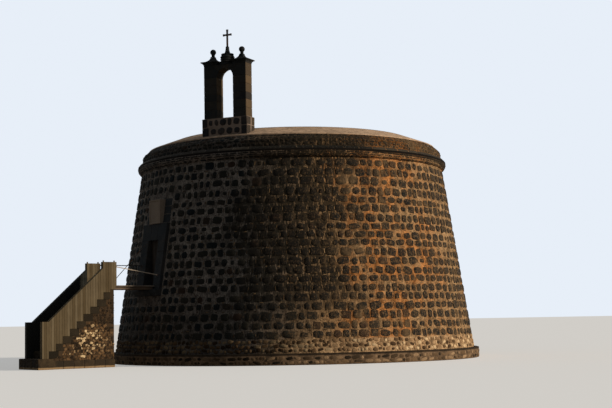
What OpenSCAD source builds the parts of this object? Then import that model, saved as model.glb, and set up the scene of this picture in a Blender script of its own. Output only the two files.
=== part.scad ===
// Round coastal watch tower with a bell gable on its rim, a timber bridge and an outside stair.
// Origin on the tower's axis at the level of its base. The door, bridge and stair face -Y.

/* [Tower wall] */
// Outer radius of the wall where it leaves the plinth
wall_foot_r = 7430; // [7250:10:7600]
// Outer radius of the wall under the string course
wall_top_r = 6305; // [6150:5:6400]
// Level of the wall's top, under the string course
wall_top_z = 7735; // [7500:5:8300]
// Stand of the plinth in front of the wall's foot
plinth_out = 230; // [120:10:400]
// Height of the plinth
plinth_h = 420; // [250:10:700]
// Thickness of the wall's top, behind which the vault sits
wall_top_t = 1355; // [1200:5:1500]
// Width of the ledge that carries the vault
vault_ledge = 350; // [250:10:450]
// Width of the ledge that carries the entry floor
floor_ledge = 300; // [150:10:700]
// Angle from the middle of the door to each end of the wall's door bay
bay_turn = 19.5; // [16:0.5:24]
// Joint left between large pieces of masonry
joint = 0.4; // [0.2:0.1:0.8]

/* [Floors and vault] */
// Level of the entry floor and of the bridge
entry_z = 3050; // [2900:10:3200]
// Thickness of the entry floor
floor_t = 300; // [200:10:400]
// Height of the room from its floor to the spring of the vault
room_h = 2250; // [2100:10:2500]
// Rise of the vault
vault_rise = 1600; // [1200:10:1900]
// Height of the terrace over the wall's top
terrace_lift = 365; // [260:5:400]
// Thickness of the terrace paving
paving_t = 100; // [60:5:120]
// Radial joint left round the floors and the vault
floor_joint = 3; // [1:1:8]

/* [String course and parapet] */
// Height of the string course
course_h = 440; // [400:5:500]
// Stand of its round nose in front of the wall's top
nose_out = 165; // [140:5:190]
// Set back of the parapet's outer face behind the wall's top
parapet_set = 40; // [20:5:120]
// Height of the parapet's outer face under its bevelled shoulder
shoulder_h = 275; // [200:5:300]
// Set back of the parapet's rim behind the wall's top
rim_set = 285; // [220:5:340]
// Height of the rim over the string course
rim_h = 525; // [450:5:600]
// Set back of the parapet's inner face behind the wall's inner face
parapet_in_set = 20; // [0:5:100]
// Rise of the parapet's sloping top from the rim inwards
slope_rise = 385; // [300:5:500]
// Thickness of the plaster on the sloping top
plaster_t = 40; // [25:5:60]

/* [Door] */
// Width of the door opening
door_w = 720; // [650:10:800]
// Height of the door opening
door_h = 1770; // [1700:10:1820]
// Width of a jamb
jamb_w = 500; // [440:10:560]
// Height of the lintel
lintel_h = 650; // [550:10:680]
// Height of the door sill under the entry level
sill_h = 400; // [330:10:450]
// Stand of the surround in front of the wall
surround_proud = 80; // [50:5:120]
// Depth of the surround's stones at the entry level
surround_d = 856; // [700:1:1000]
// Depth of the reveal in front of the leaf at the entry level
reveal_d = 421; // [380:1:460]
// Width of the passage beyond each edge of the opening
passage_side = 140; // [110:5:180]
// Height of the passage over the head of the opening
passage_over = 130; // [90:5:180]
// Lap of the leaf over each edge of the opening
leaf_lap = 60; // [40:5:70]
// Thickness of the leaf
leaf_t = 60; // [45:5:70]
// Gap round the closed leaf
leaf_gap = 6; // [5:1:10]
// Width of the plaque
plaque_w = 800; // [700:10:900]
// Height of the plaque
plaque_h = 940; // [800:10:1000]
// Stand of the plaque's foot in front of the wall
plaque_out = 126; // [90:2:160]
// Width of the plaque's raised border
plaque_border = 55; // [40:5:80]
// Depth of the plaque's bare panel behind its border
plaque_sink = 25; // [15:5:40]

/* [Hinges] */
// Radius of the hinge pin
pin_r = 12; // [9:0.5:13]
// Radial running fit of the hinge eye on its pin
pin_fit = 0.05; // [0.03:0.01:0.1]
// Thickness of the hinge eye round its bore
eye_t = 10; // [7:0.5:12]
// Distance of the hinge pin behind the leaf's inner face
pin_back = 20; // [17:0.5:22]
// Thickness of the arm that carries a pin
arm_h = 16; // [12:1:20]
// Gap between a hinge eye and the arm under it
eye_lift = 1; // [0.5:0.5:2]
// Height of the hinge eye and strap
strap_h = 50; // [40:5:60]
// Thickness of the strap
strap_t = 8; // [6:1:10]
// Length of the strap
strap_l = 620; // [500:10:700]
// Height of the lower strap over the leaf's foot
strap_low = 260; // [200:10:320]
// Distance of the upper strap from the leaf's head
strap_high = 254; // [200:2:340]

/* [Bell gable] */
// Angle of the gable round the rim from the door
gable_turn = 27; // [26:0.5:34]
// Set back of the gable's front face behind the wall's top
gable_set = 505; // [450:5:540]
// Width of one pier
pier_w = 575; // [530:5:600]
// Depth of the gable
gable_d = 500; // [460:5:560]
// Width of the opening between the piers
gable_gap = 695; // [650:5:760]
// Height of the rubble base over the string course
base_h = 1260; // [1150:5:1300]
// Stand of the rubble base round the piers
base_out = 55; // [30:5:80]
// Height of the piers up to the arch's spring
pier_h = 1600; // [1450:10:1700]
// Height of the arched course
arch_course_h = 490; // [460:10:620]
// Overhang of the pier caps
cap_out = 116; // [90:2:130]
// Height of the hollow moulding under a cap
cap_flare_h = 120; // [100:5:150]
// Height of a cap's upright edge
cap_edge_h = 34; // [25:1:45]
// Rise of a cap's hollow pyramid
cap_rise = 230; // [180:5:260]
// Half the width of a cap's top
cap_top = 76; // [70:2:84]
// Radius of a ball finial
ball_r = 116; // [95:1:125]
// Radius of the neck under a ball
neck_r = 66; // [50:1:70]
// Height of the neck under a ball
neck_h = 90; // [60:5:110]
// Outer radius of the rings of the cross pedestal
ring_r = 280; // [250:5:290]
// Gap between the rings and the caps, which are cut back round them
pedestal_gap = 5; // [3:1:15]
// Height of the ringed part of the pedestal
pedestal_h = 440; // [380:5:460]
// Radius of the round face of a ring
ring_bulge = 38; // [28:1:42]
// Radius of the cone's foot
cone_r = 160; // [130:5:190]
// Radius of the cone's top, round the foot of the cross
cone_top_r = 68; // [45:1:80]
// Height of the cone over the rings
cone_h = 290; // [220:5:320]
// Height of the cross
cross_h = 680; // [560:5:720]
// Height of the middle of its arms
cross_arm_h = 470; // [380:5:500]
// Span of the arms of the cross
cross_span = 370; // [320:5:420]
// Width of the bars of the cross
cross_bar = 62; // [50:2:74]
// Width of the flared ends of the bars
cross_flare = 84; // [74:2:100]
// Thickness of the cross
cross_t = 48; // [36:2:60]

/* [Stair] */
// Number of stone steps
steps = 9; // [8:1:9]
// Run of a step
run = 279; // [260:1:290]
// Height of the foot step, from which the risers follow
foot_h = 390; // [330:5:450]
// Run of the foot step in front of the newels
foot_run = 200; // [150:10:300]
// Stand of the foot step beyond the parapets on each side
foot_out = 88; // [50:2:140]
// Depth of the foot step behind the first riser
foot_lap = 150; // [100:10:200]
// Width over the parapet boards
stair_w = 1424; // [1380:4:1480]
// Stand of the boards in front of the masonry
board_proud = 22; // [10:1:35]
// Stand of the step ends in front of the masonry
step_proud = 10; // [4:1:18]
// Thickness of a parapet
parapet_t = 170; // [140:5:185]
// Tuck of a step under the next one
tuck = 120; // [80:5:150]
// Mortar bed under a step
bed = 4; // [3:1:8]
// Depth of the masonry seat for the bridge
seat_d = 165; // [150:5:220]
// Height of the footing course
footing_h = 300; // [200:10:320]
// Stand of the footing round the masonry
footing_out = 30; // [15:5:50]
// Height of the newels over the foot step
newel_h = 1330; // [1200:10:1400]
// Depth of the newels
newel_d = 264; // [220:4:300]
// Height of the boards over the step at the sloping top's upper end
board_high = 890; // [820:10:960]
// Height of the landing posts over the entry level
post_h = 870; // [840:10:950]
// Stand of the landing posts beyond the masonry
post_out = 110; // [80:5:140]
// Lap of the landing posts over the riser at their outer foot
post_lap = 16; // [6:1:30]
// Radius of the knobs on the landing posts
knob_r = 28; // [20:1:36]

/* [Bridge] */
// Span of the bridge from the door's sill to its seat on the stair
bridge_span = 2039; // [1800:1:2300]
// Gap between the deck and each landing post
deck_side = 7; // [4:1:20]
// Thickness of the planks
plank_t = 45; // [35:1:55]
// Width of one plank
plank_w = 195; // [160:5:240]
// Gap between planks
plank_gap = 8; // [6:1:14]
// Height of the bridge beams
beam_h = 110; // [90:5:125]
// Width of the bridge beams
beam_w = 100; // [80:5:130]
// Distance of a beam from the deck's edge
beam_in = 105; // [60:5:160]
// Bearing of the beams on the nib of the sill
nib_d = 150; // [120:5:180]
// Height of the nib's upright face
nib_h = 110; // [80:5:140]
// Gap at the deck's ends
deck_gap = 6; // [4:1:12]
// Radius of the ropes
rope_r = 18; // [12:1:22]
// Radius of the stay
stay_r = 13; // [10:1:18]
// Height of the left rope over the entry level
rope_left_h = 800; // [600:10:810]
// Height of the right rope's outer end over the entry level
rope_right_out_h = 690; // [600:10:800]
// Height of the right rope's inner end over the entry level
rope_right_in_h = 400; // [300:10:700]
// Distance of the stay from the deck's edge
stay_in = 55; // [40:5:80]
// Distance of the stay's foot from the deck's outer end
stay_foot = 650; // [500:10:700]
// Distance of the stay's head under the head of the opening
stay_drop = 130; // [80:10:240]

/* [Hidden] */
$fn = 96;
overcut = 1;
// Ends of the ropes and the stay, as shares of the line's radius, and the plate's thickness
plate_share = 2.5;
stand_share = 2.4;
knot_share = 1.5;
end_plate_t = 8;
basalt = [0.20, 0.19, 0.19];
ashlar = [0.26, 0.25, 0.25];
rubble = [0.52, 0.42, 0.33];
cobble = [0.42, 0.34, 0.27];
plaster = [0.76, 0.63, 0.52];
timber = [0.50, 0.43, 0.33];
iron = [0.16, 0.15, 0.15];

// Wall outline and the radii and levels that follow from it
batter = (wall_foot_r - wall_top_r) / (wall_top_z - plinth_h);
batter_deg = atan(batter);
function wall_r(z) = wall_foot_r - (z - plinth_h) * batter;
function face_r(z) = wall_r(z) + surround_proud;
plinth_r = wall_foot_r + plinth_out;
vault_seat_r = wall_top_r - wall_top_t;
room_r = vault_seat_r - vault_ledge;
store_r = room_r - floor_ledge;
ledge_z = entry_z - floor_t;
spring_z = entry_z + room_h;
fill_top_z = wall_top_z + terrace_lift - paving_t;
side_bay = (360 - 2 * bay_turn) / 6;
joint_turn = joint / wall_foot_r * 180 / PI;
vault_arc_r = (room_r * room_r + vault_rise * vault_rise) / (2 * vault_rise);

// String course and parapet
nose_r = (course_h * course_h / 4 + nose_out * nose_out) / (2 * nose_out);
cordon_top_z = wall_top_z + course_h;
parapet_r = wall_top_r - parapet_set;
rim_r = wall_top_r - rim_set;
rim_z = cordon_top_z + rim_h;
parapet_in_r = vault_seat_r + parapet_in_set;

// Door
door_top_z = entry_z + door_h;
lintel_top_z = door_top_z + lintel_h;
surround_w = door_w + 2 * jamb_w;
surround_back_r = face_r(entry_z) - surround_d;
rebate_r = face_r(entry_z) - reveal_d;
passage_w = door_w + 2 * passage_side;
passage_h = door_h + passage_over;
passage_top_z = entry_z + passage_h;
leaf_half = door_w / 2 + leaf_lap;
leaf_front_y = leaf_gap - rebate_r;
leaf_back_y = leaf_front_y + leaf_t;
leaf_foot_z = entry_z + leaf_gap;
leaf_h = door_h + leaf_lap - leaf_gap;
pin_x = -(leaf_half + passage_w / 2) / 2;
pin_y = leaf_back_y + pin_back;
eye_r = pin_r + pin_fit + eye_t;
strap_levels = [leaf_foot_z + strap_low, leaf_foot_z + leaf_h - strap_high - strap_h];
plaque_foot_z = lintel_top_z;
plaque_face_r = wall_r(plaque_foot_z) + plaque_out;

// Bell gable
gable_r = wall_top_r - gable_set;
gable_w = gable_gap + 2 * pier_w;
base_top_z = cordon_top_z + base_h;
arch_spring_z = base_top_z + pier_h;
arch_top_z = arch_spring_z + arch_course_h;
gable_mid_y = gable_d / 2 - gable_r;
pier_mid_x = (gable_w - pier_w) / 2;
cap_h = cap_flare_h + cap_edge_h + cap_rise;
cross_foot_z = arch_top_z + pedestal_h + cone_h;

// Stair, measured along the distance from the tower's axis
core_w = stair_w - 2 * board_proud;
step_w = core_w + 2 * step_proud;
rise = (entry_z - foot_h) / (steps + 1);
seat_z = entry_z - plank_t - beam_h;
seat_y = face_r(entry_z) + bridge_span;
first_riser_y = seat_y + steps * run;
function riser_y(k) = first_riser_y - k * run;
function tread_z(k) = foot_h + (k + 1) * rise;
function bed_z(k) = tread_z(k - 1) + bed - joint;
core_end_y = seat_y - seat_d;
side_x = (stair_w - parapet_t) / 2;
function back_y(k) = riser_y(k + 1) - (k < steps - 1 ? tuck : 0);
newel_z = foot_h + newel_h;
post_z = entry_z + post_h;
post_y = core_end_y - post_out;
post_start_y = riser_y(steps - 1) + post_lap;
slope_top_z = tread_z(steps - 1) + board_high;

// Bridge
deck_w = stair_w - 2 * (parapet_t + deck_side);
beam_x = deck_w / 2 - beam_in - beam_w / 2;
deck_out_y = seat_y - deck_gap;
deck_in_y = face_r(entry_z - plank_t) + deck_gap;
beam_in_y = face_r(seat_z) + deck_gap;
nib_y = beam_in_y + nib_d;
plank_count = floor((deck_out_y - deck_in_y + plank_gap) / (plank_w + plank_gap));
plank_pitch = (deck_out_y - deck_in_y + plank_gap) / plank_count;

// A side profile drawn with distance from the axis and height, spread across X
module across(width, profile) {
    translate([-width / 2, 0, 0])
        rotate([90, 0, 90])
            linear_extrude(width)
                polygon([for (p = profile) [-p[0], p[1]]]);
}

// Part of a ring between two angles, counted from the door towards +X, less half a joint each way
module bay(from, to) {
    rotate([0, 0, from + joint_turn / 2 - 90])
        rotate_extrude(angle = to - from - joint_turn, $fn = 360)
            children();
}

module wall_section() {
    foot_z = plinth_h + joint;
    polygon([
        [store_r, foot_z], [wall_r(foot_z), foot_z], [wall_top_r, wall_top_z],
        [vault_seat_r, wall_top_z], [vault_seat_r, spring_z], [room_r, spring_z],
        [room_r, ledge_z], [store_r, ledge_z]
    ]);
}

module wall_bay(k) {
    color(cobble)
        bay(bay_turn + k * side_bay, bay_turn + (k + 1) * side_bay)
            wall_section();
}

// The surround as one body with its face on the wall's batter, or with a margin the pocket for it
module surround_envelope(margin = 0) {
    foot_z = entry_z - sill_h - margin;
    top_z = lintel_top_z + margin;
    back_r = surround_back_r - margin;
    across(surround_w + 2 * margin, [
        [back_r, foot_z], [face_r(foot_z), foot_z], [face_r(top_z), top_z], [back_r, top_z]
    ]);
}

// The passage through the wall, with its floor and ceiling moved out by a margin
module passage_space(margin = 0) {
    translate([-passage_w / 2, -rebate_r, entry_z - margin])
        cube([passage_w, rebate_r, passage_h + 2 * margin]);
}

// The plaque, or with a margin the pocket for it
module plaque_block(margin = 0) {
    translate([-plaque_w / 2 - margin, -plaque_face_r, plaque_foot_z - margin])
        cube([plaque_w + 2 * margin, plaque_face_r - surround_back_r + margin,
            plaque_h + 2 * margin]);
}

// The door bay between two angles and two heights, cleared of the surround and the plaque
module door_bay_wall(from, to, low_z, high_z) {
    difference() {
        bay(from, to)
            intersection() {
                wall_section();
                translate([0, low_z + joint])
                    square([plinth_r, high_z - low_z - joint]);
            }
        surround_envelope(margin = joint);
        plaque_block(margin = joint);
    }
}

// The wall on one side of the passage, as high as the passage
module wall_beside_door(from, to) {
    color(cobble)
        difference() {
            door_bay_wall(from, to, entry_z, passage_top_z);
            passage_space(margin = overcut);
        }
}

module plinth() {
    color(rubble)
        cylinder(r = plinth_r, h = plinth_h, $fn = 180);
}

module wall_below_door() {
    color(cobble)
        door_bay_wall(-bay_turn, bay_turn, plinth_h, entry_z);
}

module wall_left_of_door() { wall_beside_door(-bay_turn, 0); }
module wall_right_of_door() { wall_beside_door(0, bay_turn); }

module wall_over_door() {
    color(cobble)
        door_bay_wall(-bay_turn, bay_turn, passage_top_z, wall_top_z);
}

module wall_front_right() { wall_bay(0); }
module wall_right() { wall_bay(1); }
module wall_rear_right() { wall_bay(2); }
module wall_rear_left() { wall_bay(3); }
module wall_left() { wall_bay(4); }
module wall_front_left() { wall_bay(5); }

module entry_floor() {
    color(rubble)
        translate([0, 0, ledge_z + joint])
            cylinder(r = room_r - floor_joint, h = floor_t - joint);
}

// Flat-topped dome: a hollow arc below, level masonry above
module vault() {
    arc_points = 14;
    foot_z = spring_z + joint;
    centre_z = foot_z + vault_rise - vault_arc_r;
    open_deg = asin(room_r / vault_arc_r);
    under = [for (k = [0:arc_points]) let (a = open_deg * (1 - k / arc_points))
        [vault_arc_r * sin(a), centre_z + vault_arc_r * cos(a)]];
    color(rubble)
        rotate_extrude()
            polygon(concat(under, [
                [0, fill_top_z],
                [vault_seat_r - floor_joint, fill_top_z],
                [vault_seat_r - floor_joint, foot_z]
            ]));
}

module terrace_floor() {
    color(plaster)
        translate([0, 0, fill_top_z + joint])
            cylinder(r = vault_seat_r - floor_joint, h = paving_t - joint);
}

// String course: a flat ring with a round nose
module cordon() {
    color(basalt)
        translate([0, 0, wall_top_z + joint])
            rotate_extrude() {
                translate([vault_seat_r, 0])
                    square([wall_top_r - vault_seat_r, course_h - joint]);
                intersection() {
                    translate([wall_top_r + nose_out - nose_r, course_h / 2])
                        circle(nose_r);
                    translate([wall_top_r - 1, 0])
                        square([nose_out + 2, course_h - joint]);
                }
            }
}

// Section of the parapet: upright face, bevelled shoulder and a top that slopes up inwards
module parapet_section() {
    foot_z = cordon_top_z + joint;
    polygon([
        [parapet_in_r, foot_z], [parapet_r, foot_z], [parapet_r, cordon_top_z + shoulder_h],
        [rim_r, rim_z - plaster_t], [parapet_in_r, rim_z - plaster_t + slope_rise]
    ]);
}

module parapet() {
    color(cobble)
        rotate_extrude()
            parapet_section();
}

// Plaster on the sloping top, stopped round the base of the bell gable
module parapet_plaster() {
    color(plaster)
        difference() {
            rotate_extrude()
                polygon([
                    [rim_r, rim_z - plaster_t + joint], [rim_r, rim_z],
                    [parapet_in_r, rim_z + slope_rise],
                    [parapet_in_r, rim_z - plaster_t + slope_rise + joint]
                ]);
            belfry_base_block(margin = joint);
        }
}

module door_sill() {
    foot_z = entry_z - sill_h;
    color(ashlar)
        across(surround_w, [
            [surround_back_r, foot_z], [face_r(foot_z), foot_z],
            [nib_y, seat_z - nib_h], [nib_y, seat_z], [face_r(seat_z), seat_z],
            [face_r(entry_z), entry_z], [surround_back_r, entry_z]
        ]);
}

// The surround's stones between two upright planes and two levels, rebated for the leaf
module surround_stone(from_x, to_x, low_z, high_z) {
    color(ashlar)
        difference() {
            intersection() {
                surround_envelope();
                translate([from_x, -plinth_r, low_z])
                    cube([to_x - from_x, plinth_r, high_z - low_z]);
            }
            passage_space(margin = low_z == entry_z ? overcut : 0);
        }
}

module door_jamb_left() { surround_stone(-surround_w / 2, -door_w / 2, entry_z, door_top_z); }
module door_jamb_right() { surround_stone(door_w / 2, surround_w / 2, entry_z, door_top_z); }

module door_lintel() {
    surround_stone(-surround_w / 2, surround_w / 2, door_top_z, lintel_top_z);
}

// Bare tablet over the lintel, with a raised border
module plaque() {
    inner_w = plaque_w - 2 * plaque_border;
    color(plaster)
        difference() {
            plaque_block();
            translate([-inner_w / 2, -plaque_face_r - 1, plaque_foot_z + plaque_border])
                cube([inner_w, plaque_sink + 1, plaque_h - 2 * plaque_border]);
        }
}

module door_leaf() {
    color(timber)
        translate([-leaf_half, leaf_front_y, leaf_foot_z])
            cube([2 * leaf_half, leaf_t, leaf_h]);
}

// Strap hinges on the leaf's inner face, each with an eye round its pin
module door_straps() {
    color(iron)
        for (level = strap_levels)
            translate([pin_x, pin_y, level])
                difference() {
                    union() {
                        cylinder(r = eye_r, h = strap_h);
                        translate([0, leaf_back_y - pin_y, 0])
                            cube([strap_l, strap_t, strap_h]);
                    }
                    translate([0, 0, -1])
                        cylinder(r = pin_r + pin_fit, h = strap_h + 2);
                }
}

// Hinge pins, each on an arm out of the passage's side
module door_pintles() {
    color(iron)
        for (level = strap_levels)
            translate([pin_x, pin_y, level - eye_lift - arm_h]) {
                cylinder(r = pin_r, h = arm_h + eye_lift + strap_h + pin_r);
                translate([-passage_w / 2 - pin_x, -pin_r, 0])
                    cube([passage_w / 2 + pin_x + pin_r, 2 * pin_r, arm_h]);
            }
}

module on_gable() {
    rotate([0, 0, gable_turn])
        children();
}

// The base from the level of the rim's masonry up, or with a margin the gap in the plaster for it
module belfry_base_block(margin = 0) {
    foot_z = rim_z - plaster_t;
    out = base_out + margin;
    on_gable()
        translate([-gable_w / 2 - out, -gable_r - out, foot_z])
            cube([gable_w + 2 * out, gable_d + 2 * out, base_top_z - foot_z]);
}

// Rubble base, seated on the slope of the parapet
module belfry_base() {
    color(rubble)
        difference() {
            belfry_base_block();
            translate([0, 0, joint])
                rotate_extrude($fn = 720)
                    parapet_section();
        }
}

module pier(side) {
    color(ashlar)
        on_gable()
            translate([side * pier_mid_x - pier_w / 2, -gable_r, base_top_z])
                cube([pier_w, gable_d, pier_h]);
}

module belfry_pier_left() { pier(-1); }
module belfry_pier_right() { pier(1); }

// Arched course over the opening, from spring to cornice
module belfry_arch() {
    color(ashlar)
        on_gable()
            difference() {
                translate([-gable_w / 2, -gable_r, arch_spring_z])
                    cube([gable_w, gable_d, arch_course_h]);
                translate([0, -gable_r - 1, arch_spring_z])
                    rotate([-90, 0, 0])
                        cylinder(r = gable_gap / 2, h = gable_d + 2);
            }
}

// Half outline of a cap: hollow flare, upright edge, hollow pyramid
function cap_outline(half) = concat(
    [for (k = [0:6]) let (a = 15 * k)
        [half + cap_out * (1 - cos(a)), cap_flare_h * sin(a)]],
    [for (k = [0:6]) let (a = 15 * k)
        [cap_top + (half + cap_out - cap_top) * (1 - sin(a)),
         cap_flare_h + cap_edge_h + cap_rise * (1 - cos(a))]]);

module cap_prism(half, depth) {
    right = cap_outline(half);
    left = [for (k = [len(right) - 1:-1:0]) [-right[k][0], right[k][1]]];
    rotate([90, 0, 0])
        translate([0, 0, -depth / 2])
            linear_extrude(depth)
                polygon(concat(right, left));
}

module belfry_cap(side) {
    reach = gable_d + 2 * cap_out;
    translate([side * pier_mid_x, gable_mid_y, arch_top_z])
        intersection() {
            cap_prism(pier_w / 2, reach);
            rotate([0, 0, 90])
                cap_prism(gable_d / 2, reach);
        }
}

// Both caps, cut back round the pedestal between them
module belfry_caps() {
    color(ashlar)
        on_gable()
            difference() {
                union()
                    for (side = [-1, 1])
                        belfry_cap(side);
                translate([0, gable_mid_y, arch_top_z - 1])
                    cylinder(r = ring_r + pedestal_gap, h = cap_h + 2);
            }
}

module ball_finials() {
    ball_drop = sqrt(ball_r * ball_r - neck_r * neck_r);
    color(basalt)
        on_gable()
            for (side = [-1, 1])
                translate([side * pier_mid_x, gable_mid_y, arch_top_z + cap_h]) {
                    cylinder(r = neck_r, h = neck_h + 1);
                    translate([0, 0, neck_h + ball_drop])
                        sphere(ball_r, $fn = 48);
                }
}

// Stepped round pedestal with three rings, then a hollow cone
module cross_pedestal() {
    rings = 3;
    ring_h = pedestal_h / (rings + 2);
    neck = ring_r - ring_bulge;
    cone_points = 8;
    outline = [for (k = [0:cone_points]) let (a = 90 * k / cone_points)
        [cone_top_r + (cone_r - cone_top_r) * (1 - sin(a)),
         pedestal_h + cone_h * (1 - cos(a))]];
    color(ashlar)
        on_gable()
            translate([0, gable_mid_y, arch_top_z])
                rotate_extrude() {
                    polygon(concat([[0, 0], [ring_r, 0], [ring_r, ring_h],
                        [neck, ring_h], [neck, pedestal_h]], outline, [[0, pedestal_h + cone_h]]));
                    for (k = [1:rings])
                        translate([neck, ring_h * (k + 0.5)])
                            circle(ring_bulge);
                }
}

// Outline of one limb of the cross from its inner corner out and back, turned about the middle
function cross_limb(turn, reach, end_w) = [for (p = [
    [cross_bar / 2, cross_bar / 2], [cross_bar / 2, reach - cross_flare], [end_w / 2, reach],
    [-end_w / 2, reach], [-cross_bar / 2, reach - cross_flare]])
    [p[0] * cos(turn) - p[1] * sin(turn), p[0] * sin(turn) + p[1] * cos(turn)]];

module cross() {
    color(iron)
        on_gable()
            translate([0, gable_mid_y + cross_t / 2, cross_foot_z + cross_arm_h])
                rotate([90, 0, 0])
                    linear_extrude(cross_t)
                        polygon(concat(
                            cross_limb(0, cross_h - cross_arm_h, cross_flare),
                            cross_limb(90, cross_span / 2, cross_flare),
                            cross_limb(180, cross_arm_h, cross_bar),
                            cross_limb(270, cross_span / 2, cross_flare)));
}

module stair_footing() {
    start_y = first_riser_y - foot_lap;
    color(basalt)
        translate([-core_w / 2 - footing_out, -start_y, 0])
            cube([core_w + 2 * footing_out, start_y - core_end_y + footing_out, footing_h]);
}

module stair_masonry() {
    start_y = first_riser_y - foot_lap;
    profile = concat(
        [[core_end_y, footing_h], [core_end_y, seat_z], [seat_y - joint, seat_z]],
        [for (k = [steps - 1:-1:0]) each [
            [back_y(k) - joint, bed_z(k)],
            [k == 0 ? start_y : back_y(k - 1) - joint, bed_z(k)]]],
        [[start_y, footing_h]]);
    color(rubble)
        across(core_w, profile);
}

module stair_steps() {
    color(ashlar)
        for (k = [0:steps - 1])
            translate([-step_w / 2, -riser_y(k), tread_z(k - 1) + bed])
                cube([step_w, riser_y(k) - back_y(k), rise - bed]);
}

module foot_step() {
    start_y = first_riser_y + newel_d + foot_run;
    color(basalt)
        translate([-stair_w / 2 - foot_out, -start_y, 0])
            cube([stair_w + 2 * foot_out, newel_d + foot_run + foot_lap, foot_h]);
}

// One boarded parapet: it stands on the steps and its top slopes up to the landing post
module stair_parapet(side) {
    profile = concat(
        [[first_riser_y, tread_z(0)], [first_riser_y, newel_z]],
        [[post_start_y, slope_top_z], [post_start_y, tread_z(steps - 2)]],
        [for (k = [steps - 2:-1:1]) each [
            [riser_y(k), tread_z(k)], [riser_y(k), tread_z(k - 1)]]]);
    color(timber)
        translate([side * side_x, 0, 0])
            across(parapet_t, profile);
}

module stair_parapet_left() { stair_parapet(-1); }
module stair_parapet_right() { stair_parapet(1); }

module newel_posts() {
    color(timber)
        for (side = [-1, 1])
            translate([side * side_x, 0, 0])
                across(parapet_t, [
                    [first_riser_y, foot_h], [first_riser_y + newel_d, foot_h],
                    [first_riser_y + newel_d, newel_z], [first_riser_y, newel_z]
                ]);
}

// Landing posts, with a chamfered foot past the masonry and two knobs on top
module landing_posts() {
    color(timber)
        for (side = [-1, 1])
            translate([side * side_x, 0, 0]) {
                across(parapet_t, [
                    [post_start_y, post_z], [post_y, post_z], [post_y, entry_z],
                    [core_end_y, seat_z], [seat_y, seat_z], [seat_y, tread_z(steps - 1)],
                    [riser_y(steps - 1), tread_z(steps - 1)],
                    [riser_y(steps - 1), tread_z(steps - 2)],
                    [post_start_y, tread_z(steps - 2)]
                ]);
                for (y = [post_start_y - 2 * knob_r, post_y + 2 * knob_r])
                    translate([0, -y, post_z])
                        cylinder(r = knob_r, h = 2 * knob_r);
            }
}

module bridge_beams() {
    color(timber)
        for (side = [-1, 1])
            translate([side * beam_x - beam_w / 2, -deck_out_y, seat_z])
                cube([beam_w, deck_out_y - beam_in_y, beam_h]);
}

module bridge_planks() {
    color(timber)
        for (k = [0:plank_count - 1])
            translate([-deck_w / 2, -deck_out_y + k * plank_pitch, entry_z - plank_t])
                cube([deck_w, plank_pitch - plank_gap, plank_t]);
}

// A straight line between two points of one upright plane, each [distance, height]
module line_between(p, q, r) {
    length = sqrt(pow(q[0] - p[0], 2) + pow(q[1] - p[1], 2));
    lean = atan2(p[0] - q[0], q[1] - p[1]);
    translate([0, -p[0], p[1]])
        rotate([-lean, 0, 0])
            cylinder(r = r, h = length);
}

// An end of a rope or stay of radius r: a round plate, a short shank and a knot
module line_end(r) {
    cylinder(r = plate_share * r, h = end_plate_t);
    cylinder(r = r, h = stand_share * r);
    translate([0, 0, stand_share * r])
        sphere(knot_share * r, $fn = 24);
}

// Such an end on the surround's battered face, and the place of its knot
module jamb_end(z, r) {
    translate([0, -face_r(z) - joint, z])
        rotate([90 - batter_deg, 0, 0])
            line_end(r);
}

function jamb_knot(z, r) = [face_r(z) + joint + stand_share * r * cos(batter_deg),
    z + stand_share * r * sin(batter_deg)];

module guard_rope(out_z, in_z) {
    out_y = post_y - joint;
    line_between([out_y - stand_share * rope_r, out_z], jamb_knot(in_z, rope_r), rope_r);
    jamb_end(in_z, rope_r);
    translate([0, -out_y, out_z])
        rotate([-90, 0, 0])
            line_end(rope_r);
}

module bridge_ropes() {
    color(rubble) {
        translate([-side_x, 0, 0])
            guard_rope(entry_z + rope_left_h, entry_z + rope_left_h);
        translate([side_x, 0, 0])
            guard_rope(entry_z + rope_right_out_h, entry_z + rope_right_in_h);
    }
}

// Iron stay from the deck's left edge up to the head of the left jamb
module bridge_stay() {
    foot_y = deck_out_y - stay_foot;
    foot_z = entry_z + joint;
    head_z = door_top_z - stay_drop;
    color(iron)
        translate([stay_in - deck_w / 2, 0, 0]) {
            line_between([foot_y, foot_z + stand_share * stay_r], jamb_knot(head_z, stay_r), stay_r);
            jamb_end(head_z, stay_r);
            translate([0, -foot_y, foot_z])
                line_end(stay_r);
        }
}

plinth();
wall_below_door();
wall_left_of_door();
wall_right_of_door();
wall_over_door();
wall_front_right();
wall_right();
wall_rear_right();
wall_rear_left();
wall_left();
wall_front_left();
entry_floor();
vault();
terrace_floor();
cordon();
parapet();
parapet_plaster();
door_sill();
door_jamb_left();
door_jamb_right();
door_lintel();
plaque();
door_leaf();
door_straps();
door_pintles();
belfry_base();
belfry_pier_left();
belfry_pier_right();
belfry_arch();
belfry_caps();
ball_finials();
cross_pedestal();
cross();
stair_footing();
stair_masonry();
stair_steps();
foot_step();
stair_parapet_left();
stair_parapet_right();
newel_posts();
landing_posts();
bridge_beams();
bridge_planks();
bridge_ropes();
bridge_stay();
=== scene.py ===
"""Looks of a round coastal watch tower with a bell gable, a boarded stair and a timber bridge.

Lengths are in metres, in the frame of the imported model: the tower's axis is Z, the door, the
bridge and the stair face -Y, and +X is to the right of someone who faces the door. A turn round
the tower is counted in radians from the door towards +X.
"""

import logging
import math
import random
from contextlib import contextmanager
from dataclasses import dataclass
from enum import Enum
from functools import cached_property
from typing import Callable, Iterator, Optional, Sequence, Union

import bpy
import numpy as np
from mathutils import Matrix, Vector


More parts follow.
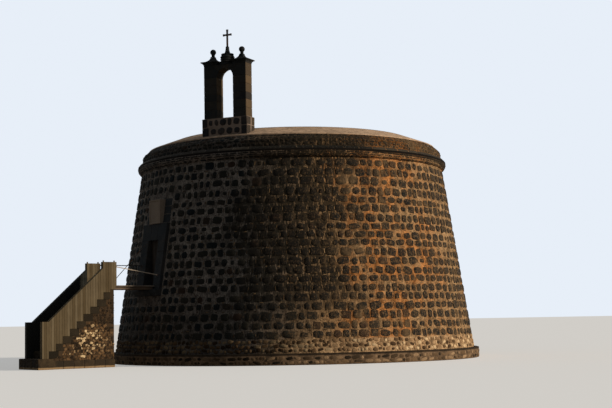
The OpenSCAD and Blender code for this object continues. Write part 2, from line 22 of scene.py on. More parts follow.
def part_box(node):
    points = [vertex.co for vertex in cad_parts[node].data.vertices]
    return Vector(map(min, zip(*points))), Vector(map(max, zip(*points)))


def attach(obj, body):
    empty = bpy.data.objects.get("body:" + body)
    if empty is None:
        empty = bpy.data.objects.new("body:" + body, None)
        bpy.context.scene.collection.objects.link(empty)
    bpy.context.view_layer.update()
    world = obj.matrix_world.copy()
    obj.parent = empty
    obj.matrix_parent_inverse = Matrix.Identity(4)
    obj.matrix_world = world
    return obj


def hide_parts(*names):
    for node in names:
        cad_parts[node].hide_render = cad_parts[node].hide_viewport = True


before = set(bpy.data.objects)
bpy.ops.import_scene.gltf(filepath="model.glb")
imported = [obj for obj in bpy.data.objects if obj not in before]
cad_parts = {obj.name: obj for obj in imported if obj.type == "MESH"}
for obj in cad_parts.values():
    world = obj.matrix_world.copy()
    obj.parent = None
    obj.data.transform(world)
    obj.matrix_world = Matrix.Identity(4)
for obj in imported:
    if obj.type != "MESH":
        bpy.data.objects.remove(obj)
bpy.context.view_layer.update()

log = logging.getLogger("tower")

TOWER = "tower"
DOOR = "door"
TONE = "tone"
LIT_SIDE = "lit_side"
SUN_TURN = math.radians(127.0)
WELD = 0.0002
FLAT_ANGLE = math.radians(0.2)
FAR = 30.0

Colour = tuple[float, float, float]
Number = Union[float, "Sock"]
Tint = Union[Colour, "Sock"]
FaceTest = Callable[[bpy.types.MeshPolygon], bool]


# Modelling by hand


def release() -> None:
    """Leaves nothing selected and nothing active."""
    bpy.ops.object.select_all(action="DESELECT")
    bpy.context.view_layer.objects.active = None


def take(thing: bpy.types.Object) -> None:
    """Selects one object alone and makes it active.

    Args:
        thing: The object to work on.
    """
    release()
    thing.select_set(True)
    bpy.context.view_layer.objects.active = thing


@contextmanager
def editing(thing: bpy.types.Object, faces: Optional[FaceTest] = None) -> Iterator[None]:
    """Edit mode on one object, with its faces that pass a test selected, or all of it.

    Args:
        thing: The object to shape.
        faces: Says of a face whether it is worked on.
    """
    take(thing)
    mesh = thing.data
    whole = faces is None
    for parts in (mesh.vertices, mesh.edges):
        parts.foreach_set("select", [whole] * len(parts))
    chosen = [whole or faces(face) for face in mesh.polygons]
    mesh.polygons.foreach_set("select", chosen)
    bpy.context.tool_settings.mesh_select_mode = (False, False, True)
    bpy.ops.object.mode_set(mode="EDIT")
    try:
        yield
    finally:
        bpy.ops.object.mode_set(mode="OBJECT")


def finish_with(thing: bpy.types.Object, kind: str, **settings: object) -> None:
    """Adds a modifier and applies it.

    Args:
        thing: The object that gets it.
        kind: The modifier's type.
        **settings: The modifier's values.
    """
    take(thing)
    modifier = thing.modifiers.new(kind.lower(), kind)
    for name, value in settings.items():
        setattr(modifier, name, value)
    bpy.ops.object.modifier_apply(modifier=modifier.name)


def settle(thing: bpy.types.Object) -> None:
    """Moves an object's place, turn and size into its mesh."""
    take(thing)
    bpy.ops.object.transform_apply(location=True, rotation=True, scale=True)


def round_edges(thing: bpy.types.Object, width: float, segments: int = 1) -> None:
    """Rounds the sharp edges of an object.

    Args:
        thing: The object.
        width: Width of the rounding.
        segments: Strips across it.
    """
    finish_with(
        thing,
        "BEVEL",
        width=width,
        segments=segments,
        limit_method="ANGLE",
        angle_limit=math.radians(30),
    )


def smooth(thing: bpy.types.Object, degrees: float = 35.0) -> None:
    """Shades an object smooth where its faces meet at less than an angle."""
    take(thing)
    bpy.ops.object.shade_smooth_by_angle(angle=math.radians(degrees))


def set_tone(thing: bpy.types.Object, tone: float) -> None:
    """Gives a piece of an object its own shade, from 0 to 1, for its finish to read."""
    shade = thing.data.attributes.new(TONE, "FLOAT", "POINT")
    shade.data.foreach_set("value", [tone] * len(thing.data.vertices))


def mark_lit_side(thing: bpy.types.Object) -> None:
    """Notes of each face how far it looks towards the low sun, where sunlight is painted.

    Args:
        thing: The object whose faces are marked.
    """
    sun = Vector((math.sin(SUN_TURN), -math.cos(SUN_TURN), 0.0))
    side = thing.data.attributes.new(LIT_SIDE, "FLOAT", "FACE")
    shares = [max(0.0, face.normal.dot(sun)) for face in thing.data.polygons]
    side.data.foreach_set("value", shares)


def join(name: str, things: Sequence[bpy.types.Object]) -> bpy.types.Object:
    """Joins objects into one.

    Args:
        name: The name of the whole.
        things: The objects, at least one.

    Returns:
        The joined object.
    """
    release()
    for thing in things:
        thing.select_set(True)
    bpy.context.view_layer.objects.active = things[0]
    if len(things) > 1:
        bpy.ops.object.join()
    whole = bpy.context.view_layer.objects.active
    whole.name = name
    whole.data.name = name
    return whole


def new_object(name: str, mesh: bpy.types.Mesh) -> bpy.types.Object:
    """Puts a mesh in the scene, at the origin.

    Args:
        name: The new object's name.
        mesh: Its mesh.

    Returns:
        The object.
    """
    thing = bpy.data.objects.new(name, mesh)
    bpy.context.scene.collection.objects.link(thing)
    return thing


def node_copy(node: str, name: str) -> bpy.types.Object:
    """Copies a node's mesh and joins its triangles into clean faces.

    Args:
        node: The node to copy.
        name: The name of the copy.

    Returns:
        The copy, with no material.
    """
    copy = new_object(name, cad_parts[node].data.copy())
    copy.data.materials.clear()
    take(copy)
    bpy.ops.mesh.customdata_custom_splitnormals_clear()
    with editing(copy):
        bpy.ops.mesh.remove_doubles(threshold=WELD)
        bpy.ops.mesh.dissolve_limited(angle_limit=FLAT_ANGLE)
        bpy.ops.mesh.normals_make_consistent(inside=False)
    return copy


def loose_parts(thing: bpy.types.Object) -> list[bpy.types.Object]:
    """Splits an object into its separate solids.

    Args:
        thing: The object to split.

    Returns:
        One object for each solid.
    """
    take(thing)
    bpy.ops.object.mode_set(mode="EDIT")
    bpy.ops.mesh.select_all(action="SELECT")
    bpy.ops.mesh.separate(type="LOOSE")
    bpy.ops.object.mode_set(mode="OBJECT")
    return list(bpy.context.selected_objects)


@dataclass(frozen=True)
class Cut:
    """A flat cut; what lies beyond it, on the side that its normal shows, falls away."""

    point: Vector
    normal: Vector

    def make(self, thing: bpy.types.Object) -> None:
        """Makes the cut through an object and closes it.

        Args:
            thing: The object that is cut.
        """
        with editing(thing):
            bpy.ops.mesh.bisect(
                plane_co=self.point, plane_no=self.normal, use_fill=True, clear_outer=True
            )


def slabs(axis: Vector, levels: Sequence[float], joint: float) -> list[list[Cut]]:
    """Pairs of parallel cuts that leave a stack of pieces with joints between them.

    Args:
        axis: The direction of the stack.
        levels: The middle of each joint along it; the ends are open.
        joint: The width of a joint.

    Returns:
        The two cuts of each piece.
    """
    marks = [-FAR, *levels, FAR]
    return [
        [Cut(axis * (low + joint / 2), -axis), Cut(axis * (high - joint / 2), axis)]
        for low, high in zip(marks, marks[1:])
    ]


def even_levels(low: float, high: float, pitch: float) -> list[float]:
    """Inner marks that divide a length into equal parts of about a pitch."""
    count = max(1, round((high - low) / pitch))
    return [low + (high - low) * k / count for k in range(1, count)]


# Faces on which stones are laid


@dataclass(frozen=True)
class RoundFace:
    """A round wall face whose radius shrinks with height by its batter."""

    radius: float
    level: float
    batter: float = 0.0

    @property
    def slope(self) -> float:
        """Length along the face for each unit of height."""
        return math.hypot(1.0, self.batter)

    @property
    def lean(self) -> float:
        """The angle by which the face leans in."""
        return math.atan(self.batter)

    def radius_at(self, level: Number) -> Number:
        """The radius at a level."""
        return self.radius - (level - self.level) * self.batter

    def lay(self, points: np.ndarray, along: float, level: float) -> np.ndarray:
        """Bends a stone's points onto the face.

        Args:
            points: The stone, as across, up the face and out of it.
            along: The turn of its middle.
            level: The level of its middle.

        Returns:
            The points in place.
        """
        cos, sin = math.cos(self.lean), math.sin(self.lean)
        reach = self.radius_at(level)
        across, up, out = points.T
        radius = reach - up * sin + out * cos
        height = level + up * cos + out * sin
        turn = along + across / reach
        return np.column_stack((radius * np.sin(turn), -radius * np.cos(turn), height))


@dataclass(frozen=True)
class FlatFace:
    """A flat upright wall face."""

    origin: Vector
    across: Vector

    def lay(self, points: np.ndarray, along: float, level: float) -> np.ndarray:
        """Puts a stone's points on the face.

        Args:
            points: The stone, as across, up the face and out of it.
            along: The place of its middle along the face.
            level: The level of its middle.

        Returns:
            The points in place.
        """
        up = Vector((0.0, 0.0, 1.0))
        axes = np.array([self.across, up, self.across.cross(up)])
        return points @ axes + np.array(self.origin + self.across * along + up * level)


WALL_FACE = RoundFace(radius=7.43, level=0.42, batter=0.153794)


# Finishes


def rgba(tint: Tint) -> object:
    """A colour as a socket takes it, or the link that gives it."""
    return tint if isinstance(tint, Sock) else (*tint, 1.0)


@dataclass(frozen=True)
class Sock:
    """An output of a shader node that takes part in sums."""

    paint: "Paint"
    socket: bpy.types.NodeSocket

    def _math(self, operation: str, first: Number, second: Number) -> "Sock":
        """A Math node on two values."""
        return self.paint.node(
            "ShaderNodeMath", {"operation": operation}, {0: first, 1: second}
        )

    def __add__(self, other: Number) -> "Sock":
        """This value plus another."""
        return self._math("ADD", self, other)

    def __sub__(self, other: Number) -> "Sock":
        """This value less another."""
        return self._math("SUBTRACT", self, other)

    def __rsub__(self, other: Number) -> "Sock":
        """Another value less this one."""
        return self._math("SUBTRACT", other, self)

    def __mul__(self, other: Number) -> "Sock":
        """This value times another."""
        return self._math("MULTIPLY", self, other)

    def at_least(self, other: Number) -> "Sock":
        """The larger of this value and another."""
        return self._math("MAXIMUM", self, other)

    __radd__ = __add__
    __rmul__ = __mul__


class Paint:
    """One material, or the world's shading, made node by node."""

    def __init__(self, name: str, tree: Optional[bpy.types.NodeTree] = None) -> None:
        """Starts with no node.

        Args:
            name: The name of the material.
            tree: Another node tree to work in, such as the world's; then no material is made.
        """
        self.material: Optional[bpy.types.Material] = None
        if tree is None:
            self.material = bpy.data.materials.new(name)
            self.material.use_nodes = True
            tree = self.material.node_tree
        self.tree = tree
        self.tree.nodes.clear()

    @cached_property
    def place(self) -> Sock:
        """The place on the object."""
        return self.node("ShaderNodeTexCoord", output="Object")

    @cached_property
    def parts(self) -> tuple[Sock, Sock, Sock]:
        """The x, the y and the level of the place on the object."""
        first = self.node("ShaderNodeSeparateXYZ", inputs={0: self.place})
        outputs = first.socket.node.outputs
        return first, Sock(self, outputs[1]), Sock(self, outputs[2])

    @cached_property
    def turn(self) -> Sock:
        """The turn round the tower's axis, from the door towards +X."""
        x, y, _ = self.parts
        return self.node("ShaderNodeMath", {"operation": "ARCTAN2"}, {0: x, 1: 0 - y})

    @cached_property
    def tone(self) -> Sock:
        """The shade of the stone or board, from 0 to 1."""
        return self.node("ShaderNodeAttribute", {"attribute_name": TONE}, output="Fac")

    @cached_property
    def lit_side(self) -> Sock:
        """How far a face of a block looks towards the low sun, from 0 to 1."""
        return self.node("ShaderNodeAttribute", {"attribute_name": LIT_SIDE}, output="Fac")

    def node(
        self,
        kind: str,
        settings: Optional[dict[str, object]] = None,
        inputs: Optional[dict[Union[str, int], object]] = None,
        output: Union[str, int] = 0,
    ) -> Sock:
        """Adds a node.

        Args:
            kind: The node's type.
            settings: Its settings, such as a Math node's operation.
            inputs: The values or links of its sockets.
            output: The socket that is wanted.

        Returns:
            That output.
        """
        made = self.tree.nodes.new(kind)
        for name, value in (settings or {}).items():
            setattr(made, name, value)
        for name, value in (inputs or {}).items():
            if isinstance(value, Sock):
                self.tree.links.new(value.socket, made.inputs[name])
            else:
                made.inputs[name].default_value = value
        return Sock(self, made.outputs[output])

    def stretch(self, scale: Colour, vector: Optional[Sock] = None) -> Sock:
        """The place on the object, drawn out by a scale for each direction."""
        at = vector or self.place
        return self.node("ShaderNodeMapping", inputs={"Vector": at, "Scale": scale})

    def own_place(self) -> Sock:
        """Moves the place on the object by the piece's tone, so that no two pieces match.

        Returns:
            The place.
        """
        shift = self.node(
            "ShaderNodeVectorMath",
            {"operation": "SCALE"},
            {0: (7.0, 13.0, 5.0), "Scale": self.tone},
        )
        return self.node(
            "ShaderNodeVectorMath", {"operation": "ADD"}, {0: self.place, 1: shift}
        )

    def noise(
        self, scale: float, detail: float = 4.0, at: Optional[Sock] = None, rough: float = 0.55
    ) -> Sock:
        """Soft noise from 0 to 1.

        Args:
            scale: Its scale.
            detail: Its levels of detail.
            at: Where it is read; the place on the object by default.
            rough: How strong the fine levels are.

        Returns:
            The noise.
        """
        return self.node(
            "ShaderNodeTexNoise",
            inputs={
                "Vector": at or self.place,
                "Scale": scale,
                "Detail": detail,
                "Roughness": rough,
            },
        )

    def cells(self, scale: float, at: Optional[Sock] = None) -> Sock:
        """Distance to the nearest of many scattered points."""
        return self.node(
            "ShaderNodeTexVoronoi", inputs={"Vector": at or self.place, "Scale": scale}
        )

    def step(self, value: Number, low: float, high: float) -> Sock:
        """0 under the low mark, 1 over the high one and smooth between."""
        return self.node(
            "ShaderNodeMapRange",
            {"interpolation_type": "SMOOTHSTEP"},
            {0: value, 1: low, 2: high},
        )

    def band(self, value: Number, marks: tuple[float, float, float, float]) -> Sock:
        """Rises from the first mark to the second and falls from the third to the fourth."""
        return self.step(value, marks[0], marks[1]) * (1 - self.step(value, marks[2], marks[3]))

    def mix(self, share: Number, low: Tint, high: Tint) -> Sock:
        """A colour between two."""
        return self.node(
            "ShaderNodeMix",
            {"data_type": "RGBA"},
            {0: share, 6: rgba(low), 7: rgba(high)},
            output=2,
        )

    def shade(self, tint: Tint, value: Sock) -> Sock:
        """A colour times a value."""
        return self.node(
            "ShaderNodeMix",
            {"data_type": "RGBA", "blend_type": "MULTIPLY"},
            {0: 1.0, 6: rgba(tint), 7: value},
            output=2,
        )

    def end(self, kind: str, shader: Sock) -> None:
        """Links a shader to an output node of a kind, the material's or the world's."""
        output = self.tree.nodes.new(kind)
        self.tree.links.new(shader.socket, output.inputs["Surface"])

    def surface(
        self,
        colour: Tint,
        roughness: Number,
        height: Sock,
        depth: float,
        metallic: float = 0.0,
        sheen: float = 0.03,
    ) -> bpy.types.Material:
        """Ends the material.

        Args:
            colour: Its colour.
            roughness: Its roughness.
            height: The relief that its bump shows.
            depth: The depth of that relief.
            metallic: How metallic it is.
            sheen: How much its surface mirrors; rough, dusty stone does little.

        Returns:
            The material.
        """
        normal = self.node("ShaderNodeBump", inputs={"Height": height, "Distance": depth})
        shader = self.node(
            "ShaderNodeBsdfPrincipled",
            inputs={
                "Base Color": rgba(colour),
                "Roughness": roughness,
                "Metallic": metallic,
                "Specular IOR Level": sheen,
                "Normal": normal,
            },
        )
        self.end("ShaderNodeOutputMaterial", shader)
        return self.material


@dataclass(frozen=True)
class Weather:
    """Where the wall is black with patina, where it is orange (lichen, partly painted warm
    sunlight) and which side is painted as sunlit, round the tower; also the painted shadow under
    the string course.
    """

    patina_turn: tuple[float, float, float, float] = (0.52, 0.72, 1.10, 1.38)
    patina_level: tuple[float, float, float, float] = (1.0, 3.0, 8.4, 9.4)
    orange_turn: tuple[float, float, float, float] = (1.08, 1.30, 1.72, 2.05)
    sunny_turn: tuple[float, float] = (0.62, 1.15)
    lean_level: tuple[float, float] = (5.6, 7.6)
    lean: float = 0.14
    far_turn: tuple[float, float] = (2.1, 2.6)
    near_turn: tuple[float, float] = (-1.1, -0.6)
    shadow_strip_level: tuple[float, float, float] = (8.0, 8.06, 8.09)
    shadow_strip_turn: tuple[float, float, float, float] = (1.25, 1.65, 2.6, 3.0)
    shadow_strip_end: tuple[float, float, float, float] = (1.95, 2.25, 2.6, 3.0)
    shadow_strip_drop: tuple[float, float] = (0.10, 0.12)
    shadow_strip_soft: float = 0.012
    wander_turn: float = 0.7
    wander_level: float = 2.4
    black_patch: tuple[float, float] = (0.54, 0.66)
    orange_patch: tuple[float, float] = (0.36, 0.46)
    orange_blotch: tuple[float, float] = (0.36, 0.62)
    hidden_sun: float = 0.7
    tick_marks: tuple[float, float] = (0.53, 0.62)
    tick_share: float = 0.85

    def strip(self, paint: Paint) -> Sock:
        """Works out the painted shadow under the string course's stones, wider on the sunny side.

        Args:
            paint: The material that reads it.

        Returns:
            The strip, from 0 to 1.
        """
        _, _, level = paint.parts
        low, head, end = self.shadow_strip_level
        drop = paint.band(paint.turn, self.shadow_strip_turn) * self.shadow_strip_drop[0]
        drop = drop + paint.band(paint.turn, self.shadow_strip_end) * self.shadow_strip_drop[1]
        above = paint.step(level + drop, low - self.shadow_strip_soft, low + self.shadow_strip_soft)
        return above * (1 - paint.step(level, head, end))

    def read(self, paint: Paint) -> tuple[Sock, Sock, Sock]:
        """Works out the three masks; the hidden side has patches of patina and of orange.

        Args:
            paint: The material that reads them.

        Returns:
            Patina, orange (lichen, partly painted warm sunlight) and the side painted as sunlit,
            each from 0 to 1.
        """
        _, _, level = paint.parts
        wander = paint.noise(0.5, 3.0) - 0.5
        turn = paint.turn + wander * self.wander_turn
        height = level + wander * self.wander_level
        ticks = paint.noise(1.0, 3.0, paint.stretch((15.0, 15.0, 3.2)), rough=0.6)
        hidden = paint.step(turn, *self.far_turn).at_least(1 - paint.step(turn, *self.near_turn))
        patches = paint.noise(0.28, 2.0)
        lean = paint.step(level, *self.lean_level) * self.lean
        patina = paint.band(turn - lean, self.patina_turn) * paint.band(height, self.patina_level)
        patina = patina.at_least(hidden * paint.step(patches, *self.black_patch))
        blotches = paint.step(paint.noise(1.3, 5.0), *self.orange_blotch)
        # Orange lichen, strongest where the sun falls, so partly painted warm sunlight.
        orange = paint.band(turn, self.orange_turn) * blotches
        orange = orange.at_least(hidden * (1 - paint.step(patches, *self.orange_patch)))
        # Painted light: this mask marks the side painted as sunlit, and most of the hidden side.
        sunny = paint.step(turn, *self.sunny_turn).at_least(hidden * self.hidden_sun)
        gaps = paint.step(ticks, *self.tick_marks) * self.tick_share
        return patina * (1 - gaps), orange, sunny


@dataclass(frozen=True)
class MortarFinish:
    """Lime mortar of the outer wall, in painted sunlit and shaded colours round the tower, and the
    lime wash inside it.
    """

    name: str = "wall_mortar"
    shaded: Colour = (0.162, 0.136, 0.113)
    sunny: Colour = (0.300, 0.180, 0.088)
    orange: Colour = (0.390, 0.150, 0.042)
    patina: Colour = (0.020, 0.018, 0.013)
    foot: Colour = (0.400, 0.250, 0.130)
    fleck: Colour = (0.56, 0.38, 0.21)
    wash: Colour = (0.60, 0.55, 0.47)
    foot_level: tuple[float, float] = (0.88, 0.98)
    darkening_level: tuple[float, float] = (1.0, 3.4)
    crest_level: tuple[float, float] = (8.14, 8.20)
    wash_behind: tuple[float, float] = (3.0, 6.0)
    weather: Weather = Weather()

    def make(self) -> bpy.types.Material:
        """Makes the material; the wash begins where squared radii fall that far behind.

        Returns:
            The material.
        """
        paint = Paint(self.name)
        patina, orange, sunny = self.weather.read(paint)
        x, y, level = paint.parts
        grain = paint.noise(26.0, 6.0, rough=0.7)
        blotch = paint.noise(3.4, 6.0, rough=0.62)
        ticks = paint.noise(1.0, 4.0, paint.stretch((19.0, 19.0, 6.0)), rough=0.7)
        # Painted light: sunlit and shaded copies of the mortar colour, mixed by the sunny mask.
        colour = paint.mix(sunny, self.shaded, self.sunny)
        # Orange lichen, partly painted warm sunlight.
        colour = paint.mix(orange * 0.85, colour, self.orange)
        # Pale foot mortar, shown only on the side painted as sunlit: partly painted light.
        colour = paint.mix((1 - paint.step(level, *self.foot_level)) * sunny, colour, self.foot)
        patchy = paint.step(blotch, 0.38, 0.62) * 0.70 + paint.step(ticks, 0.42, 0.62) * 0.60
        pits = paint.step(paint.noise(17.0, 6.0, rough=0.8), 0.40, 0.50)
        colour = paint.shade(colour, (0.24 + patchy + 0.3 * grain) * (0.40 + 0.78 * pits))
        # Lime flecks, much brighter on the side painted as sunlit: partly painted light.
        flecks = paint.step(paint.noise(23.0, 5.0, rough=0.8), 0.56, 0.64)
        colour = paint.mix(flecks * (0.05 + 0.50 * sunny), colour, self.fleck)
        # Darker towards the foot, on the side painted as shade.
        darkening = (1 - paint.step(level, *self.darkening_level)) * (1 - sunny)
        crest = paint.step(level, *self.crest_level)
        colour = paint.shade(colour, (1 - darkening * 0.5) * (1 - crest * 0.55))
        colour = paint.mix(patina * 0.9, colour, self.patina)
        # Painted shadow under the string course, in the patina's dark colour.
        colour = paint.mix(self.weather.strip(paint) * 0.85, colour, self.patina)
        face = WALL_FACE.radius_at(level)
        deep = paint.step(face * face - x * x - y * y, *self.wash_behind)
        wash = paint.shade(self.wash, 0.8 + 0.35 * blotch)
        colour = paint.mix(deep, colour, wash)
        relief = grain * 0.5 + paint.noise(7.0, 5.0) * 0.9
        return paint.surface(colour, 0.93, relief, 0.022)


@dataclass(frozen=True)
class CobbleFinish:
    """Dark basalt cobbles, painted browner and lighter on the sunlit side and darker on the shaded
    side, and black under the patina.
    """

    name: str = "basalt_cobble"
    blue: Colour = (0.010, 0.014, 0.016)
    grey: Colour = (0.038, 0.034, 0.026)
    red: Colour = (0.062, 0.032, 0.021)
    # Dust, orange and cover are mixed in only on the side painted as sunlit, so they are partly
    # painted sunlight.
    dust: Colour = (0.125, 0.074, 0.036)
    orange: Colour = (0.150, 0.062, 0.022)
    lime: Colour = (0.230, 0.145, 0.075)
    sunlit_cover: Colour = (0.210, 0.130, 0.064)
    patina: Colour = (0.018, 0.015, 0.012)
    dusty: float = 0.62
    weather: Weather = Weather()

    def make(self) -> bpy.types.Material:
        """Makes the material.

        Returns:
            The material.
        """
        paint = Paint(self.name)
        patina, orange, sunny = self.weather.read(paint)
        own = paint.own_place()
        pits = paint.cells(60.0, own)
        grain = paint.noise(30.0, 5.0, own, rough=0.7)
        colour = paint.mix(paint.tone, self.blue, self.grey)
        colour = paint.mix(paint.step(paint.tone, 0.92, 0.96) * 0.6, colour, self.red)
        # Dust patches on the side painted as sunlit: partly dust, partly painted sunlight.
        sunlit_film = paint.step(paint.noise(11.0, 6.0, own, rough=0.65), 0.42, 0.66) * sunny
        colour = paint.mix(sunlit_film * self.dusty, colour, self.dust)
        colour = paint.mix(orange * sunlit_film * 0.4, colour, self.orange)
        drips = paint.noise(17.0, 6.0, paint.stretch((1.0, 1.0, 0.6)), rough=0.78)
        smears = paint.step(drips, 0.54, 0.59)
        # Lime smears, stronger on the side painted as sunlit: partly painted light.
        colour = paint.mix(smears * (0.10 + 0.80 * sunny), colour, self.lime)
        # A brown cover over the stones, painted only on the sunlit side: partly painted sunlight.
        sunlit_cover = paint.step(paint.noise(1.1, 4.0), 0.54, 0.66) * sunny
        colour = paint.mix(sunlit_cover * (0.30 + 0.45 * grain), colour, self.sunlit_cover)
        # Painted shade: the stones are darker on the shaded side.
        colour = paint.shade(colour, (0.4 + 1.2 * grain) * (0.62 + 0.38 * sunny))
        colour = paint.mix(patina * (1 - smears * 0.5) * 0.85, colour, self.patina)
        # Painted shadow under the string course, in the patina's dark colour.
        colour = paint.mix(self.weather.strip(paint) * 0.85, colour, self.patina)
        relief = grain * 0.8 + paint.step(pits, 0.05, 0.3) * 0.35
        return paint.surface(colour, 0.72 + 0.2 * grain, relief, 0.014)


@dataclass(frozen=True)
class RubbleFinish:
    """Stones of many shades, from dark to pale by each stone's tone."""

    name: str
    dark: Colour = (0.050, 0.042, 0.034)
    middle: Colour = (0.20, 0.135, 0.080)
    pale: Colour = (0.52, 0.36, 0.20)
    shade_share: float = 1.0
    weather: Weather = Weather()

    def make(self) -> bpy.types.Material:
        """Makes the material, darker in the shade by the share.

        Returns:
            The material.
        """
        paint = Paint(self.name)
        _, _, sunny = self.weather.read(paint)
        own = paint.own_place()
        grain = paint.noise(34.0, 6.0, own, rough=0.7)
        blotch = paint.noise(8.0, 4.0, own)
        colour = paint.mix(paint.step(paint.tone, 0.0, 0.55), self.dark, self.middle)
        colour = paint.mix(paint.step(paint.tone, 0.5, 1.0), colour, self.pale)
        light = self.shade_share + (1 - self.shade_share) * sunny
        colour = paint.shade(colour, (0.6 + 0.5 * blotch + 0.35 * grain) * light)
        return paint.surface(colour, 0.88, grain + blotch * 0.8, 0.012)


@dataclass(frozen=True)
class DressedFinish:
    """Dressed basalt blocks with dust, pits, a few pale specks and painted sunlight on the faces
    that look towards the sun.
    """

    name: str
    dark: Colour = (0.020, 0.024, 0.027)
    light: Colour = (0.052, 0.050, 0.047)
    dust: Colour = (0.110, 0.085, 0.062)
    # Painted sunlight on the faces that look towards the low sun.
    painted_sunlight: Colour = (0.150, 0.098, 0.052)
    dusty: float = 0.30
    painted_sunlight_share: float = 0.55
    patina: float = 0.0
    splash_z: float = 0.0
    black: Colour = (0.012, 0.011, 0.009)
    splash: Colour = (0.42, 0.27, 0.14)
    weather: Weather = Weather()

    def make(self) -> bpy.types.Material:
        """Makes the material; the splash of pale dust lies under a level, where it is given.

        Returns:
            The material.
        """
        paint = Paint(self.name)
        own = paint.own_place()
        blotch = paint.noise(2.2, 5.0, own)
        grain = paint.noise(38.0, 6.0, own, rough=0.72)
        pits = paint.cells(75.0, own)
        colour = paint.mix(paint.tone * 0.6 + blotch * 0.4, self.dark, self.light)
        colour = paint.mix(paint.step(blotch, 0.45, 0.75) * self.dusty, colour, self.dust)
        # Painted sunlight: faces towards the sun get the sunlit colour.
        sunlit_film = paint.step(paint.lit_side, 0.2, 0.7) * (0.15 + 0.85 * paint.tone)
        colour = paint.mix(sunlit_film * self.painted_sunlight_share, colour, self.painted_sunlight)
        colour = paint.shade(colour, 0.5 + 1.0 * grain)
        specks = paint.step(paint.noise(55.0, 2.0, own), 0.72, 0.8)
        colour = paint.mix(specks * 0.3, colour, self.dust)
        if self.patina:
            patina, _, _ = self.weather.read(paint)
            colour = paint.mix(patina * self.patina, colour, self.black)
        if self.splash_z:
            _, _, level = paint.parts
            low = 1 - paint.step(level + blotch * 0.05, self.splash_z, self.splash_z + 0.03)
            colour = paint.mix(low * 0.85, colour, self.splash)
        relief = grain * 0.7 + paint.step(pits, 0.05, 0.35) * 0.5 + blotch * 0.6
        return paint.surface(colour, 0.8, relief, 0.010)


@dataclass(frozen=True)
class LimeFinish:
    """Lime plaster, screed or wash, with stains and hair cracks.

    The dark rim lies within a radius, and the dark lip above a level, where these are given.
    """

    name: str
    base: Colour = (0.60, 0.41, 0.27)
    stain: Colour = (0.30, 0.21, 0.15)
    rim: Colour = (0.05, 0.045, 0.04)
    rim_r: float = 0.0
    lip_z: float = 0.0
    mottle: float = 0.0
    relief: float = 0.008

    def make(self) -> bpy.types.Material:
        """Makes the material.

        Returns:
            The material.
        """
        paint = Paint(self.name)
        blotch = paint.noise(1.3, 6.0)
        grain = paint.noise(60.0, 5.0, rough=0.7)
        crack = paint.node(
            "ShaderNodeTexVoronoi",
            {"feature": "DISTANCE_TO_EDGE"},
            {"Vector": paint.place, "Scale": 1.7},
        )
        line = 1 - paint.step(crack + paint.noise(14.0, 3.0) * 0.02, 0.012, 0.024)
        colour = paint.mix(paint.step(blotch, 0.42, 0.72) * 0.55, self.base, self.stain)
        colour = paint.mix(line * 0.5, colour, self.stain)
        if self.mottle:
            spots = paint.step(paint.noise(4.5, 7.0, rough=0.74), 0.46, 0.58)
            colour = paint.mix(spots * self.mottle, colour, self.stain)
        if self.rim_r:
            x, y, _ = paint.parts
            edge = (x * x + y * y) + (paint.noise(5.0, 4.0) - 0.5) * 1.6
            inner = 1 - paint.step(edge, self.rim_r**2, (self.rim_r + 0.05) ** 2)
            colour = paint.mix(inner * 0.9, colour, self.rim)
        if self.lip_z:
            _, _, level = paint.parts
            lip = paint.step(level + blotch * 0.04, self.lip_z, self.lip_z + 0.04)
            colour = paint.mix(lip * 0.85, colour, self.rim)
        colour = paint.shade(colour, 0.72 + 0.5 * grain)
        return paint.surface(colour, 0.9, grain * 0.3 + blotch + line * -0.4, self.relief)


class Grain(Enum):
    """The way that the boards of a piece run, as the stretch of their grain."""

    UP = (26.0, 26.0, 1.3)
    ACROSS = (1.3, 26.0, 26.0)
    OUT = (26.0, 1.3, 26.0)


@dataclass(frozen=True)
class WoodFinish:
    """Weathered boards: grain along each board, a shade of its own and dark checks."""

    name: str
    grain: Grain
    base: Colour = (0.118, 0.082, 0.042)
    grey: Colour = (0.205, 0.155, 0.092)
    dark: Colour = (0.030, 0.022, 0.012)
    # Painted shade for the boards on the left, in the shadow of the right parapet.
    darkening: Colour = (0.014, 0.020, 0.022)
    painted_shade_x: float = 0.0

    def make(self) -> bpy.types.Material:
        """Makes the material; boards to the left of the painted-shade mark are painted dark as
        shade, if it is given.

        Returns:
            The material.
        """
        paint = Paint(self.name)
        along = paint.stretch(self.grain.value, paint.own_place())
        fibre = paint.noise(1.0, 6.0, along, rough=0.65)
        fine = paint.noise(3.4, 4.0, along, rough=0.7)
        checks = paint.step(fibre, 0.62, 0.72)
        colour = paint.mix(paint.tone, self.base, self.grey)
        colour = paint.mix(paint.step(fine, 0.3, 0.8) * 0.45, colour, self.dark)
        colour = paint.mix(checks * 0.45, colour, self.dark)
        colour = paint.shade(colour, 0.72 + 0.55 * paint.noise(1.8, 3.0))
        # Painted shade on the left boards.
        if self.painted_shade_x:
            x, _, _ = paint.parts
            left = 1 - paint.step(x, self.painted_shade_x - 0.1, self.painted_shade_x + 0.1)
            colour = paint.mix(left * 0.85, colour, self.darkening)
        return paint.surface(colour, 0.82, fine * 0.6 - checks * 0.6, 0.005)


@dataclass(frozen=True)
class IronFinish:
    """Wrought iron, dark and rusted in patches."""

    name: str = "rusted_iron"
    dark: Colour = (0.030, 0.028, 0.027)
    rust: Colour = (0.130, 0.055, 0.025)

    def make(self) -> bpy.types.Material:
        """Makes the material.

        Returns:
            The material.
        """
        paint = Paint(self.name)
        patch = paint.step(paint.noise(14.0, 5.0), 0.46, 0.62)
        grain = paint.noise(120.0, 4.0, rough=0.7)
        colour = paint.shade(paint.mix(patch, self.dark, self.rust), 0.7 + 0.6 * grain)
        return paint.surface(colour, 0.6 + 0.3 * patch, grain + patch, 0.0015, metallic=0.35)


